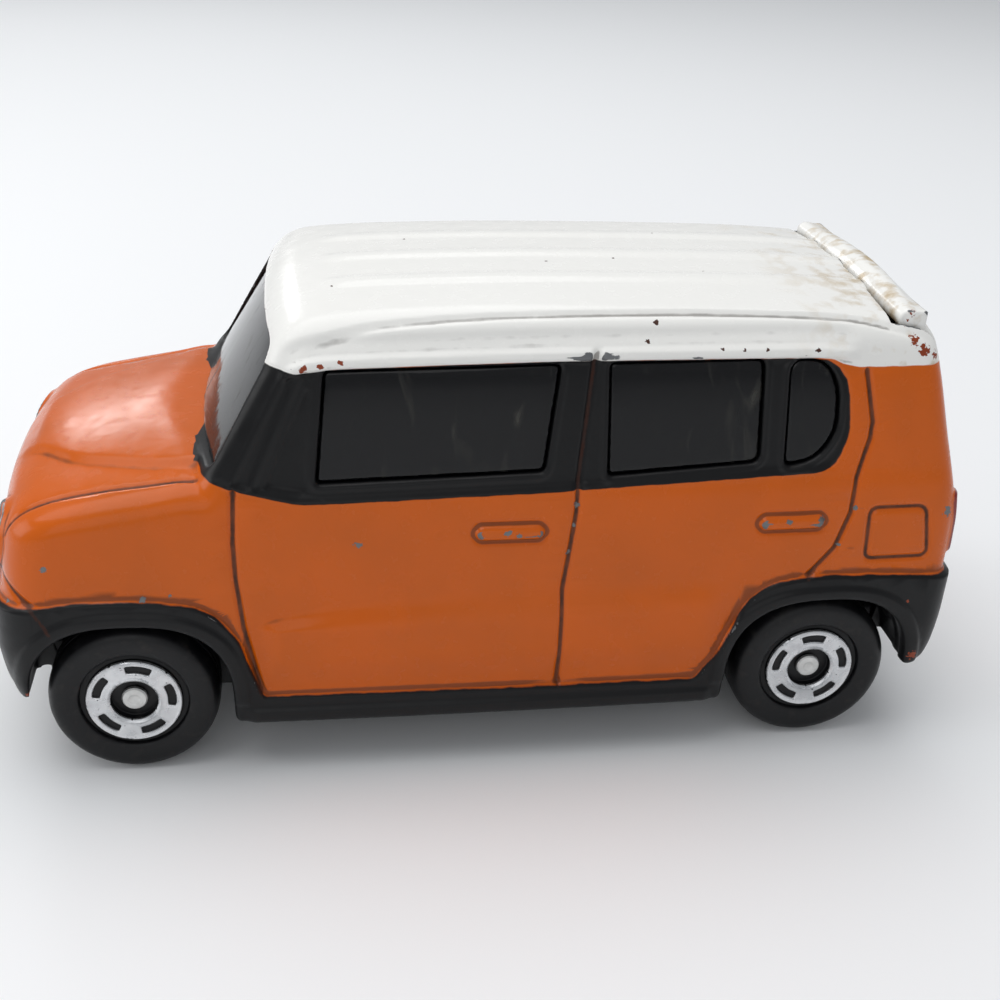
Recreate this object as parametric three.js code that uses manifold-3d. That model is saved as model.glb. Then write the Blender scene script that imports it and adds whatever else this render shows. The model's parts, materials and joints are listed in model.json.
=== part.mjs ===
// A pocket-size diecast collector car: a tall five-door crossover in painted zinc, about 1:57.
// One casting carries the roof, doors, pillars and black cladding. A clear insert, a cabin tub
// and a riveted base plate close it from inside, the tailgate lifts on two pivot pins, and two
// steel axles ride in upright slots under leaf springs. Millimetres, +X front, +Y left, +Z up.
// The origin is on the ground under the middle of the car.
import * as THREE from "three";
import { mergeVertices } from "three/addons/utils/BufferGeometryUtils.js";
import Module from "manifold-3d";

const wasm = await Module();
wasm.setup();

// ---- Driving dimensions ----------------------------------------------------------------
const WHEELBASE = 42.5;
const FRONT_OVERHANG = 8.3; // front axle to the painted nose
const REAR_OVERHANG = 8.3; // rear axle to the painted tail
const BODY_WIDTH = 25.4; // across the door skins
const BODY_HEIGHT = 25.7; // sill edge to roof crown
const BELT_HEIGHT = 15.7; // sill edge to the bottom of the windows
const WALL = 1.1; // zinc casting
const TAILGATE_WALL = 1.0;
const GLASS = 0.5; // clear insert and tailgate pane
const WHEEL_RADIUS = 5.1;
const WHEEL_WIDTH = 3.3;
const AXLE_RADIUS = 0.55;
const AXLE_HEAD_RADIUS = 0.77;
const AXLE_HEAD_HEIGHT = 0.35;
const RING_RADIUS = 2.8; // silver ring pressed on a wheel's face
const HUB_RADIUS = 1.4; // round recess in the middle of that ring
const HUB_DEPTH = 0.75;
const SUSPENSION_TRAVEL = 0.6;
const BASE_THICKNESS = 0.8;
const TUB_FLOOR = 0.8;
const RIVET_RADIUS = 0.55;
const RIVET_HEAD_RADIUS = 1.05;
const POST_RADIUS = 1.35; // casting posts that take the rivets
const HINGE_PIN_RADIUS = 0.35;
const HINGE_BARREL_RADIUS = 0.65;
const CLADDING_PROUD = 0.35; // black sills and arches stand this far outside the doors

// ---- Clearances ------------------------------------------------------------------------
const GAP = 0.06; // pieces that sit against each other
const RUNNING = 0.06; // wheels on their axle, pins in their holes
const SHUT_LINE = 0.15; // round the tailgate
const WHEEL_ROOM = 0.45; // wheels to the casting, the base plate and the tub

// ---- Stations worked out from the sizes above ------------------------------------------
const LENGTH = FRONT_OVERHANG + WHEELBASE + REAR_OVERHANG;
const NOSE = LENGTH / 2;
const TAIL = -LENGTH / 2;
const FRONT_AXLE = NOSE - FRONT_OVERHANG;
const REAR_AXLE = TAIL + REAR_OVERHANG;
const AXLE_Z = WHEEL_RADIUS;
const SILL_Z = AXLE_Z - 1.65; // sills hang a little below the axles
const ROOF_Z = SILL_Z + BODY_HEIGHT;
const BELT_Z = SILL_Z + BELT_HEIGHT;
const RAIL_Z = ROOF_Z - 3.4; // top of the side windows
const HOOD_Z = BELT_Z + 0.3; // hood at the cowl
const SIDE = BODY_WIDTH / 2;
const COWL_X = FRONT_AXLE - 4.05;
const HEADER_X = COWL_X - 4.9; // top of the windscreen
const BUMPER_Z = SILL_Z + 8.5; // top of the black bumpers and wheel arches
const ARCH_RADIUS = WHEEL_RADIUS + SUSPENSION_TRAVEL + WHEEL_ROOM;
const WHEEL_FACE = SIDE - 0.5; // outer face of a wheel
const WHEEL_BACK = WHEEL_FACE - WHEEL_WIDTH;
const HUB_FLOOR = WHEEL_FACE - HUB_DEPTH;
const INSIDE = SIDE - WALL - GAP; // half width of what lies between the casting's walls
const BETWEEN_WHEELS = WHEEL_BACK - WHEEL_ROOM;
const BASE_BOTTOM = SILL_Z;
const BASE_TOP = BASE_BOTTOM + BASE_THICKNESS;
const AXLE_TOP_TRAVEL = AXLE_Z + AXLE_RADIUS + SUSPENSION_TRAVEL;
const TUB_BOTTOM = AXLE_TOP_TRAVEL + 1.3;
const TUB_TOP = TUB_BOTTOM + TUB_FLOOR;
const HINGE_X = TAIL + 4.7;
const HINGE_Z = ROOF_Z - 1.3;
const GATE_HALF = SIDE - 3.3; // half width of the tailgate opening at the roof
const GATE_BOTTOM = BUMPER_Z + 0.5;
const ROOF_END = HINGE_X + HINGE_BARREL_RADIUS + SHUT_LINE;
const FAR = 200; // longer than any cut needs

// ---- Geometry helpers --------------------------------------------------------------------
const AXIS_X = new THREE.Vector3(1, 0, 0);
const AXIS_Y = new THREE.Vector3(0, 1, 0);
const AXIS_Z = new THREE.Vector3(0, 0, 1);

function solid(geometry) {
  const bare = geometry.clone();
  bare.deleteAttribute("normal");
  bare.deleteAttribute("uv");
  const merged = mergeVertices(bare, 1e-4);
  return new wasm.Manifold(
    new wasm.Mesh({
      numProp: 3,
      vertProperties: merged.attributes.position.array,
      triVerts: new Uint32Array(merged.index.array),
    }),
  );
}

const joined = (...solids) => solids.reduce((all, next) => all.add(next));

// Corners are [a, b, radius]. A positive depth moves every side inwards, as a wall does.
function inset(corners, depth) {
  const plain = corners.map(([a, b]) => new THREE.Vector2(a, b));
  const turn = Math.sign(THREE.ShapeUtils.area(plain));
  const inward = plain.map((from, i) => {
    const to = plain[(i + 1) % plain.length];
    return new THREE.Vector2(from.y - to.y, to.x - from.x).normalize().multiplyScalar(turn);
  });
  return corners.map(([a, b, radius = 0], i) => {
    const before = inward.at(i - 1);
    const reach = depth / (1 + before.dot(inward[i]));
    const x = a + (before.x + inward[i].x) * reach;
    const y = b + (before.y + inward[i].y) * reach;
    return [x, y, Math.max(radius - depth, 0)];
  });
}

// The outline with each corner rounded off.
function rounded(corners) {
  const outline = [];
  corners.forEach(([a, b, radius = 0], i) => {
    const corner = new THREE.Vector2(a, b);
    const back = new THREE.Vector2(...corners.at(i - 1).slice(0, 2)).sub(corner);
    const on = new THREE.Vector2(...corners[(i + 1) % corners.length].slice(0, 2)).sub(corner);
    const half = back.angleTo(on) / 2;
    const reach = Math.min(radius / Math.tan(half), back.length() * 0.48, on.length() * 0.48);
    if (reach < 0.05) {
      outline.push(corner);
      return;
    }
    const start = corner.clone().add(back.setLength(reach));
    const end = corner.clone().add(on.setLength(reach));
    const facets = Math.max(1, Math.ceil((Math.PI - 2 * half) / 0.35));
    outline.push(...new THREE.QuadraticBezierCurve(start, corner, end).getPoints(facets));
  });
  return outline;
}

// An outline pushed along one axis: it lies in YZ for "x", XZ for "y" and XY for "z".
function extrude(axis, corners, low, high) {
  const geometry = new THREE.ExtrudeGeometry(new THREE.Shape(rounded(corners)), {
    depth: high - low,
    bevelEnabled: false,
  });
  const place = new THREE.Matrix4();
  if (axis === "x") place.makeBasis(AXIS_Y, AXIS_Z, AXIS_X).setPosition(low, 0, 0);
  if (axis === "y") place.makeBasis(AXIS_X, AXIS_Z, AXIS_Y.clone().negate()).setPosition(0, high, 0);
  if (axis === "z") place.setPosition(0, 0, low);
  return solid(geometry.applyMatrix4(place));
}

const rectangle = (a0, b0, a1, b1, r = 0) => [[a0, b0, r], [a1, b0, r], [a1, b1, r], [a0, b1, r]];

function box(x0, y0, z0, x1, y1, z1) {
  const geometry = new THREE.BoxGeometry(x1 - x0, y1 - y0, z1 - z0);
  return solid(geometry.translate((x0 + x1) / 2, (y0 + y1) / 2, (z0 + z1) / 2));
}

function rodAlongY(radius, x, z, low, high, facets = 24) {
  const geometry = new THREE.CylinderGeometry(radius, radius, high - low, facets);
  return solid(geometry.translate(x, (low + high) / 2, z));
}

function rodAlongZ(radius, x, y, low, high, facets = 24) {
  const geometry = new THREE.CylinderGeometry(radius, radius, high - low, facets);
  return solid(geometry.rotateX(Math.PI / 2).translate(x, y, (low + high) / 2));
}

const bothSides = (half) => half.add(half.mirror([0, 1, 0]));

// ---- The outer form: side, plan and front outlines crossed -------------------------------
const mirrored = (half) => [...half, ...half.map(([a, b, r]) => [-a, b, r]).reverse()];
const mirroredPlan = (half) => [...half, ...half.map(([a, b, r]) => [a, -b, r]).reverse()];

const SIDE_OUTLINE = [
  [TAIL + 1.4, SILL_Z + 1, 1.5],
  [TAIL + 4, SILL_Z, 1],
  [NOSE - 4, SILL_Z, 1],
  [NOSE - 1.4, SILL_Z + 1, 1.5],
  [NOSE, SILL_Z + 5, 4],
  [NOSE - 0.2, BUMPER_Z, 4],
  [NOSE - 1, HOOD_Z - 2.1, 2.2],
  [NOSE - 5, HOOD_Z - 0.7, 6],
  [COWL_X, HOOD_Z, 0.4],
  [HEADER_X, ROOF_Z - 1.5, 1.6],
  [HEADER_X - 2, ROOF_Z - 0.5, 4],
  [HEADER_X - 9, ROOF_Z, 12],
  [TAIL + 12, ROOF_Z, 12],
  [TAIL + 4.2, ROOF_Z - 0.7, 1.4],
  [TAIL + 1.1, BELT_Z - 1.2, 6],
  [TAIL, BUMPER_Z - 1.5, 4],
];
const PLAN_OUTLINE = mirroredPlan([
  [NOSE, 3.5, 8],
  [NOSE - 0.9, SIDE - 3.6, 3],
  [NOSE - 3.4, SIDE - 0.5, 4],
  [FRONT_AXLE - 7, SIDE, 12],
  [REAR_AXLE + 7, SIDE, 12],
  [TAIL + 3.2, SIDE - 0.4, 4],
  [TAIL + 0.7, SIDE - 2.2, 2.6],
  [TAIL, 4, 8],
]);
const FRONT_OUTLINE = mirrored([
  [SIDE - 0.3, SILL_Z, 0.5],
  [SIDE, SILL_Z + 7, 8],
  [SIDE - 0.25, BELT_Z - 3, 5],
  [SIDE - 0.8, BELT_Z, 4],
  [SIDE - 2, RAIL_Z + 0.6, 3],
  [SIDE - 2.7, ROOF_Z - 1.1, 1.6],
  [SIDE - 4.6, ROOF_Z - 0.45, 2],
  [0.5, ROOF_Z, 4],
]);

function bodyForm(depth) {
  return extrude("y", inset(SIDE_OUTLINE, depth), -FAR, FAR)
    .intersect(extrude("z", inset(PLAN_OUTLINE, depth), -FAR, FAR))
    .intersect(extrude("x", inset(FRONT_OUTLINE, depth), -FAR, FAR));
}

// The tailgate's outline from behind, and its own share of a solid.
const GATE_OUTLINE = mirrored([
  [SIDE - 2.7, GATE_BOTTOM, 1.2],
  [SIDE - 2.5, BELT_Z - 2, 4],
  [GATE_HALF, ROOF_Z - 2.4, 1],
  [GATE_HALF, ROOF_Z + 2],
]);
const gateRegion = (depth) => extrude("x", inset(GATE_OUTLINE, depth), TAIL - 5, ROOF_END - depth);

// ---- Window openings, seen from the side --------------------------------------------------
const FRONT_DOOR_GLASS = [
  [FRONT_AXLE - 12, RAIL_Z, 0.4],
  [FRONT_AXLE - 11.2, BELT_Z + 0.2, 0.4],
  [FRONT_AXLE - 24.4, BELT_Z + 0.6, 0.4],
  [FRONT_AXLE - 25.1, RAIL_Z, 0.4],
];
const REAR_DOOR_GLASS = [
  [FRONT_AXLE - 28, RAIL_Z, 0.4],
  [FRONT_AXLE - 28.1, BELT_Z + 0.3, 0.4],
  [REAR_AXLE + 5.1, BELT_Z + 0.7, 0.4],
  [REAR_AXLE + 5.3, RAIL_Z, 0.4],
];
const QUARTER_GLASS = [
  [REAR_AXLE + 3.7, RAIL_Z, 0.4],
  [REAR_AXLE + 3.6, BELT_Z + 0.4, 0.4],
  [REAR_AXLE + 1.6, BELT_Z + 0.7, 1],
  [REAR_AXLE + 0.5, BELT_Z + 2.6, 1.5],
  [REAR_AXLE + 0.8, RAIL_Z, 1.5],
];
const WINDSCREEN = mirrored([
  [SIDE - 2, BELT_Z + 1.2, 1],
  [SIDE - 3.6, ROOF_Z - 2.6, 1],
]);

// ---- Black cladding: one band over each arch, joined by the sills and the bumpers ---------
const ARCH_EDGE = ARCH_RADIUS + 1.2;
const CLADDING_OUTLINE = [
  [NOSE + 5, SILL_Z],
  [NOSE + 5, BUMPER_Z - 0.1],
  [FRONT_AXLE + 4, AXLE_Z + ARCH_EDGE - 0.1, 2],
  [FRONT_AXLE - 4.2, AXLE_Z + ARCH_EDGE - 0.2, 2.5],
  [FRONT_AXLE - ARCH_EDGE + 0.5, AXLE_Z + 4, 2],
  [FRONT_AXLE - ARCH_EDGE - 0.4, SILL_Z + 1.9, 0.6],
  [REAR_AXLE + ARCH_EDGE + 0.4, SILL_Z + 1.9, 0.6],
  [REAR_AXLE + ARCH_EDGE - 1, AXLE_Z + 4.3, 2],
  [REAR_AXLE + 3.8, AXLE_Z + ARCH_EDGE - 0.2, 2.5],
  [REAR_AXLE - 4, AXLE_Z + ARCH_EDGE - 0.1, 2],
  [TAIL - 5, BUMPER_Z - 0.1],
  [TAIL - 5, SILL_Z],
];

// Room for a wheel at full bounce, from the space between the wheels outwards.
function wheelWell(axleX) {
  const low = WHEEL_BACK - WHEEL_ROOM;
  const round = rodAlongY(ARCH_RADIUS, axleX, AXLE_Z, low, SIDE + 3, 40);
  const under = box(axleX - ARCH_RADIUS, low, -1, axleX + ARCH_RADIUS, SIDE + 3, AXLE_Z);
  return bothSides(round.add(under));
}

// ---- Rivet stations -------------------------------------------------------------------------
const FRONT_RIVET = NOSE - 3.4;
const REAR_RIVET = TAIL + 3.4;
const RIVET_SINK = 0.4; // counterbore that hides a rivet head
const RIVET_GRIP = 2.6; // how far a rivet goes into its post
const REAR_POST_TOP = SILL_Z + 6; // and the height to which the floor is open

function bodyShell() {
  const skin = bodyForm(0).add(
    bodyForm(-CLADDING_PROUD).intersect(extrude("y", CLADDING_OUTLINE, -FAR, FAR)),
  );
  const openFloor = extrude("z", inset(PLAN_OUTLINE, WALL), -5, REAR_POST_TOP);
  const frontPost = rodAlongZ(POST_RADIUS, FRONT_RIVET, 0, BASE_TOP + GAP, HOOD_Z - 2);
  const rearPost = rodAlongZ(POST_RADIUS, REAR_RIVET, 0, BASE_TOP + GAP, REAR_POST_TOP);
  const rearWeb = box(TAIL, -0.6, BASE_TOP + GAP, REAR_RIVET, 0.6, REAR_POST_TOP);
  return skin
    .subtract(bodyForm(WALL))
    .subtract(openFloor)
    .add(frontPost)
    .add(rearPost)
    .add(rearWeb.intersect(bodyForm(0)))
    .subtract(rivetHole(FRONT_RIVET))
    .subtract(rivetHole(REAR_RIVET))
    .subtract(wheelWell(FRONT_AXLE))
    .subtract(wheelWell(REAR_AXLE))
    .subtract(extrude("y", FRONT_DOOR_GLASS, -FAR, FAR))
    .subtract(extrude("y", REAR_DOOR_GLASS, -FAR, FAR))
    .subtract(extrude("y", QUARTER_GLASS, -FAR, FAR))
    .subtract(extrude("x", WINDSCREEN, HEADER_X - 3, NOSE))
    .subtract(gateRegion(0))
    .subtract(rodAlongY(HINGE_PIN_RADIUS + RUNNING, HINGE_X, HINGE_Z, -PIN_END - GAP, PIN_END + GAP));
}

function rivetHole(x) {
  return rodAlongZ(RIVET_RADIUS + GAP, x, 0, -1, BASE_TOP + RIVET_GRIP + GAP);
}

// ---- Clear insert: windscreen, side panes and the sheet under the roof ----------------------
function glazing() {
  const outer = WALL + GAP;
  const bottom = BELT_Z - 0.9;
  const keep = box(HINGE_X + 1.9, -SIDE, bottom, NOSE, SIDE, ROOF_Z);
  return bodyForm(outer)
    .subtract(bodyForm(outer + GLASS))
    .intersect(keep)
    .subtract(box(COWL_X - 0.6, -SIDE, -1, NOSE, SIDE, HOOD_Z - 0.4))
    .subtract(box(HINGE_X, -SIDE, -1, HINGE_X + 3, SIDE, BELT_Z));
}

// ---- Cabin tub: floor, front seats, rear bench, dashboard and steering wheel -----------------
const SEAT_WIDTH = 5.4;
const SEAT_Y = 4.5;
const FRONT_SEAT_X = FRONT_AXLE - 13.6;
const REAR_SEAT_X = REAR_AXLE + 9.5;
const STEERING_RADIUS = 1.55;
const STEERING_RIM = 0.26;
const STEERING_RAKE = 1.25; // radians that the ring leans back

// A seat from the side: cushion, backrest and head restraint, with its hip point at x.
function seatSide(x) {
  const z = TUB_TOP - 0.2;
  return [
    [x + 5, z, 0.5],
    [x + 5.2, z + 3.4, 1],
    [x + 0.9, z + 3, 0.8],
    [x - 0.8, z + 9.3, 0.8],
    [x - 2.3, z + 9.5, 0.8],
    [x - 1.2, z, 0.5],
  ];
}

function floorPlan(half, front, rear) {
  const wheelBox = (axleX) =>
    bothSides(
      box(axleX - ARCH_RADIUS, BETWEEN_WHEELS - GAP, -1, axleX + ARCH_RADIUS, SIDE, ROOF_Z),
    );
  const across = box(rear, -half, -1, front, half, ROOF_Z);
  return across.subtract(wheelBox(FRONT_AXLE)).subtract(wheelBox(REAR_AXLE));
}

function interiorTub() {
  const front = FRONT_AXLE - 3.2;
  const rear = HINGE_X + 1.4;
  const cavity = bodyForm(WALL + GAP);
  const floor = box(rear, -SIDE, TUB_BOTTOM, front, SIDE, TUB_TOP);
  const dash = extrude("y", [
    [front, TUB_TOP - 0.2],
    [front, BELT_Z - 2.6, 0.8],
    [front - 3.2, BELT_Z - 2.2, 1],
    [front - 3.6, BELT_Z - 4.4, 0.8],
    [front - 1.6, TUB_TOP - 0.2],
  ], -SIDE + 3.6, SIDE - 3.6);
  const frontSeat = extrude("y", seatSide(FRONT_SEAT_X), SEAT_Y - SEAT_WIDTH / 2, SEAT_Y + SEAT_WIDTH / 2);
  const bench = extrude("y", seatSide(REAR_SEAT_X), -BETWEEN_WHEELS + 0.4, BETWEEN_WHEELS - 0.4);
  const pads = joined(...[FRONT_AXLE - SPRING_REACH, REAR_AXLE + SPRING_REACH].map((x) =>
    box(x - 1, -SPRING_WIDTH / 2, SPRING_ROOT_Z + SPRING_THICKNESS + GAP, x + 1,
      SPRING_WIDTH / 2, TUB_BOTTOM + 0.1)));
  return floor
    .add(dash)
    .intersect(floorPlan(INSIDE, front, rear))
    .intersect(cavity)
    .add(bothSides(frontSeat))
    .add(bench)
    .add(pads)
    .add(steeringWheel(front - 3.4));
}

function steeringWheel(dashX) {
  const ring = new THREE.TorusGeometry(STEERING_RADIUS, STEERING_RIM, 6, 20);
  const column = new THREE.CylinderGeometry(0.32, 0.32, 3.2, 8).rotateX(Math.PI / 2).translate(0, 0, 1.3);
  const spoke = new THREE.BoxGeometry(2 * STEERING_RADIUS, 0.5, 0.4);
  const place = new THREE.Matrix4()
    .makeRotationY(STEERING_RAKE)
    .setPosition(dashX - 1.4, -SEAT_Y, BELT_Z - 2.9);
  return joined(...[ring, column, spoke].map((geometry) => solid(geometry.applyMatrix4(place))));
}

// ---- Base plate with slotted cradles for the axles -----------------------------------------
const CRADLE_Y = BETWEEN_WHEELS - 1.2;
const CRADLE_WALL = 1;
const CRADLE_HALF = 2.2;

function cradle(axleX) {
  const slotHalf = AXLE_RADIUS + RUNNING;
  const top = AXLE_TOP_TRAVEL + GAP + 0.2;
  const rib = box(axleX - CRADLE_HALF, CRADLE_Y - CRADLE_WALL, BASE_TOP - 0.1,
    axleX + CRADLE_HALF, CRADLE_Y, top);
  const slot = joined(
    rodAlongY(slotHalf, axleX, AXLE_Z, 0, SIDE),
    box(axleX - slotHalf, 0, AXLE_Z, axleX + slotHalf, SIDE, top + 1),
  );
  return bothSides(rib.subtract(slot));
}

function basePlate() {
  const rim = inset(PLAN_OUTLINE, WALL + GAP);
  const sheet = extrude("z", rim, BASE_BOTTOM, BASE_TOP)
    .intersect(floorPlan(SIDE, NOSE - 2.2, TAIL + 2.2));
  const pedestals = joined(...[FRONT_AXLE - SPRING_REACH, REAR_AXLE + SPRING_REACH].map((x) =>
    box(x - 1, -SPRING_WIDTH / 2, BASE_TOP - 0.1, x + 1, SPRING_WIDTH / 2, SPRING_ROOT_Z - GAP)));
  const sinks = joined(...[FRONT_RIVET, REAR_RIVET].map((x) =>
    rodAlongZ(RIVET_HEAD_RADIUS + GAP, x, 0, BASE_BOTTOM - 1, BASE_BOTTOM + RIVET_SINK)));
  return sheet
    .add(cradle(FRONT_AXLE))
    .add(cradle(REAR_AXLE))
    .add(pedestals)
    .subtract(sinks)
    .subtract(rivetHole(FRONT_RIVET))
    .subtract(rivetHole(REAR_RIVET));
}

function rivet(x) {
  const headTop = BASE_BOTTOM + RIVET_SINK - GAP;
  const shank = rodAlongZ(RIVET_RADIUS, x, 0, headTop - 0.1, BASE_TOP + RIVET_GRIP);
  return shank.add(rodAlongZ(RIVET_HEAD_RADIUS, x, 0, BASE_BOTTOM + 0.02, headTop));
}

// ---- Leaf springs: clamped between pedestal and tub, their tips press on the axles ------------
const SPRING_WIDTH = 3;
const SPRING_THICKNESS = 0.25;
const SPRING_REACH = 5.4; // axle to the clamped root
const SPRING_ROOT_Z = AXLE_TOP_TRAVEL + 0.3;

function leafSpring(axleX, inboard) {
  const tip = AXLE_Z + AXLE_RADIUS + GAP;
  const line = [
    [axleX + inboard * (SPRING_REACH + 1), SPRING_ROOT_Z],
    [axleX + inboard * (SPRING_REACH - 1), SPRING_ROOT_Z],
    [axleX + inboard * 1.2, tip],
    [axleX - inboard * 1.2, tip],
  ];
  const upper = line.map(([x, z]) => [x, z + SPRING_THICKNESS]).reverse();
  return extrude("y", [...line, ...upper], -SPRING_WIDTH / 2, SPRING_WIDTH / 2);
}

// ---- Tailgate ---------------------------------------------------------------------------------
const PIN_END = GATE_HALF + 0.55;
const SPOILER_TIP = SIDE - 2.8; // half span of the spoiler
const SPOILER_CHORD = 1.7; // front to back at the middle
const REAR_WINDOW = mirrored([
  [SIDE - 4.3, BELT_Z + 0.3, 1],
  [SIDE - 4.9, ROOF_Z - 3.2, 1],
]);

function tailgate() {
  const panel = bodyForm(0)
    .subtract(bodyForm(TAILGATE_WALL))
    .intersect(gateRegion(SHUT_LINE))
    .subtract(box(HINGE_X - 0.1, -SIDE, -1, NOSE, SIDE, ROOF_Z + 5));
  const barrelEnd = GATE_HALF - SHUT_LINE;
  const barrel = rodAlongY(HINGE_BARREL_RADIUS, HINGE_X, HINGE_Z, -barrelEnd, barrelEnd);
  const pin = rodAlongY(HINGE_PIN_RADIUS, HINGE_X, HINGE_Z, -PIN_END, PIN_END);
  const bridge = box(HINGE_X - 0.9, -barrelEnd, HINGE_Z - 0.35, HINGE_X - 0.05, barrelEnd, HINGE_Z + 0.5);
  return panel
    .subtract(extrude("x", REAR_WINDOW, TAIL - 5, HINGE_X))
    .add(barrel)
    .add(pin)
    .add(bridge)
    .add(spoiler());
}

function spoiler() {
  const front = HINGE_X - 0.25;
  const plan = mirroredPlan([
    [front, SPOILER_TIP, 0.3],
    [front - SPOILER_CHORD + 1, SPOILER_TIP, 0.5],
    [front - SPOILER_CHORD + 0.25, SPOILER_TIP - 2, 3],
    [front - SPOILER_CHORD, 2, 6],
  ]);
  const underside = HINGE_Z + 0.28;
  return extrude("z", plan, underside, HINGE_Z + 0.95);
}

function tailgateGlass() {
  const outer = TAILGATE_WALL + GAP;
  const reach = inset(REAR_WINDOW, -0.5);
  return bodyForm(outer)
    .subtract(bodyForm(outer + GLASS))
    .intersect(extrude("x", reach, TAIL - 5, HINGE_X - 0.7));
}

// ---- Axles and wheels ---------------------------------------------------------------------------
function axle(axleX) {
  const headInner = HUB_FLOOR + GAP;
  const headOuter = headInner + AXLE_HEAD_HEIGHT;
  const wire = rodAlongY(AXLE_RADIUS, axleX, AXLE_Z, -headInner - 0.1, headInner + 0.1);
  return wire.add(bothSides(rodAlongY(AXLE_HEAD_RADIUS, axleX, AXLE_Z, headInner, headOuter)));
}

function wheelGeometry() {
  const face = WHEEL_WIDTH / 2;
  const bore = AXLE_RADIUS + RUNNING;
  const profile = [
    [bore, -face + 0.3],
    [2.2, -face + 0.3],
    [2.4, -face],
    [WHEEL_RADIUS - 0.35, -face],
    [WHEEL_RADIUS, -face + 0.35],
    [WHEEL_RADIUS, face - 0.4],
    [WHEEL_RADIUS - 0.3, face - 0.05],
    [WHEEL_RADIUS - 1.7, face],
    [WHEEL_RADIUS - 1.75, face - 0.25],
    [RING_RADIUS + 0.05, face - 0.25],
    [RING_RADIUS, face - 0.08],
    [HUB_RADIUS + 0.05, face - 0.08],
    [HUB_RADIUS, face - HUB_DEPTH],
    [bore, face - HUB_DEPTH],
    [bore, -face + 0.3],
  ];
  return new THREE.LatheGeometry(profile.map(([r, y]) => new THREE.Vector2(r, y)), 36);
}

// ---- Finishes and the assembly -----------------------------------------------------------------
const finish = (color, roughness, metalness = 0) =>
  new THREE.MeshStandardMaterial({ color, roughness, metalness });

const orangePaint = () => finish(0xc8641c, 0.3, 0.1);
const smokePlastic = () => {
  const material = finish(0x2a2c30, 0.15);
  material.transparent = true;
  material.opacity = 0.6;
  return material;
};
const blackPlastic = () => finish(0x1b1b1d, 0.55);
const steel = () => finish(0xb9bbbd, 0.35, 1);

function part(name, body, material) {
  const made = body.getMesh();
  const geometry = new THREE.BufferGeometry();
  geometry.setAttribute("position", new THREE.BufferAttribute(made.vertProperties, 3));
  geometry.setIndex(new THREE.BufferAttribute(made.triVerts, 1));
  geometry.computeVertexNormals();
  const mesh = new THREE.Mesh(geometry, material);
  mesh.name = name;
  return mesh;
}

const car = new THREE.Group();
car.add(
  part("body_shell", bodyShell(), orangePaint()),
  part("glazing", glazing(), smokePlastic()),
  part("interior_tub", interiorTub(), blackPlastic()),
  part("base_plate", basePlate(), blackPlastic()),
  part("rivet_front", rivet(FRONT_RIVET), steel()),
  part("rivet_rear", rivet(REAR_RIVET), steel()),
  part("front_leaf_spring", leafSpring(FRONT_AXLE, -1), steel()),
  part("rear_leaf_spring", leafSpring(REAR_AXLE, 1), steel()),
);

const gate = new THREE.Group();
gate.add(
  part("tailgate", tailgate(), orangePaint()),
  part("tailgate_glass", tailgateGlass(), smokePlastic()),
);
car.add(gate);

for (const [end, axleX] of [["front", FRONT_AXLE], ["rear", REAR_AXLE]]) {
  const unit = new THREE.Group();
  unit.add(part(end + "_axle", axle(axleX), steel()));
  for (const [side, sign] of [["left", 1], ["right", -1]]) {
    const wheel = new THREE.Mesh(wheelGeometry(), blackPlastic());
    wheel.name = "wheel_" + end + "_" + side;
    wheel.position.set(axleX, sign * (WHEEL_FACE - WHEEL_WIDTH / 2), AXLE_Z);
    wheel.rotation.x = sign > 0 ? 0 : Math.PI;
    unit.add(wheel);
  }
  car.add(unit);
}

export default car;
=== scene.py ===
"""Looks for a pocket-size diecast crossover: painted zinc casting, smoke-clear insert, moulded
tub and base, foil-ringed wheels on steel wire. Shapes are worked in millimetres in the part's
own frame, +X front, +Y left, +Z up, and every finished mesh is stored in metres."""

import functools
import json
import math

import bmesh
import bpy
import numpy as np
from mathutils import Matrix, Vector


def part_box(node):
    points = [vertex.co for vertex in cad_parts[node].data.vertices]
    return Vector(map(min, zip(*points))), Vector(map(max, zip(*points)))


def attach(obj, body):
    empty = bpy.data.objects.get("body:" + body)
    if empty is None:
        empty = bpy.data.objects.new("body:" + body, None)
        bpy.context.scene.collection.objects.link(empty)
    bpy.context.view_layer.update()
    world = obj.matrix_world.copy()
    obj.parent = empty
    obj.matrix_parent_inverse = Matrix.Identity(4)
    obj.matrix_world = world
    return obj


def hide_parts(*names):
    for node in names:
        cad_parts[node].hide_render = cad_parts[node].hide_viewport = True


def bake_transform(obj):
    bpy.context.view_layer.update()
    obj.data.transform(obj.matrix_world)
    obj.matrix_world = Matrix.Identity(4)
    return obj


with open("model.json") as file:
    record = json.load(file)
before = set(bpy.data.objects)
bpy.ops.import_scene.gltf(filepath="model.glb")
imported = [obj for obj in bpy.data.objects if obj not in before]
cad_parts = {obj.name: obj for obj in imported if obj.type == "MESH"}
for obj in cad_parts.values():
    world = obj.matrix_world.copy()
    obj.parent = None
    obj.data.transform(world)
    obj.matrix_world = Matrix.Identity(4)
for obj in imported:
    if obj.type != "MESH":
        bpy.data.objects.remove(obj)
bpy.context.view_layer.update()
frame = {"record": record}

import openvdb
from mathutils import Matrix, Vector

MM = 0.001
F32 = np.float32

# ---- Stations, in millimetres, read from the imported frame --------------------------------


def node_box(node):
    low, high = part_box(node)
    return np.array(low) / MM, np.array(high) / MM


shell_low, shell_high = node_box("body_shell")
wheel_low, wheel_high = node_box("wheel_front_left")
rear_low, rear_high = node_box("wheel_rear_left")
base_top = node_box("base_plate")[1][2]
tub_low, tub_high = node_box("interior_tub")
HINGE = np.array(frame["record"]["behaviour"]["joints"][0]["pos_m"]) / MM

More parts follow.
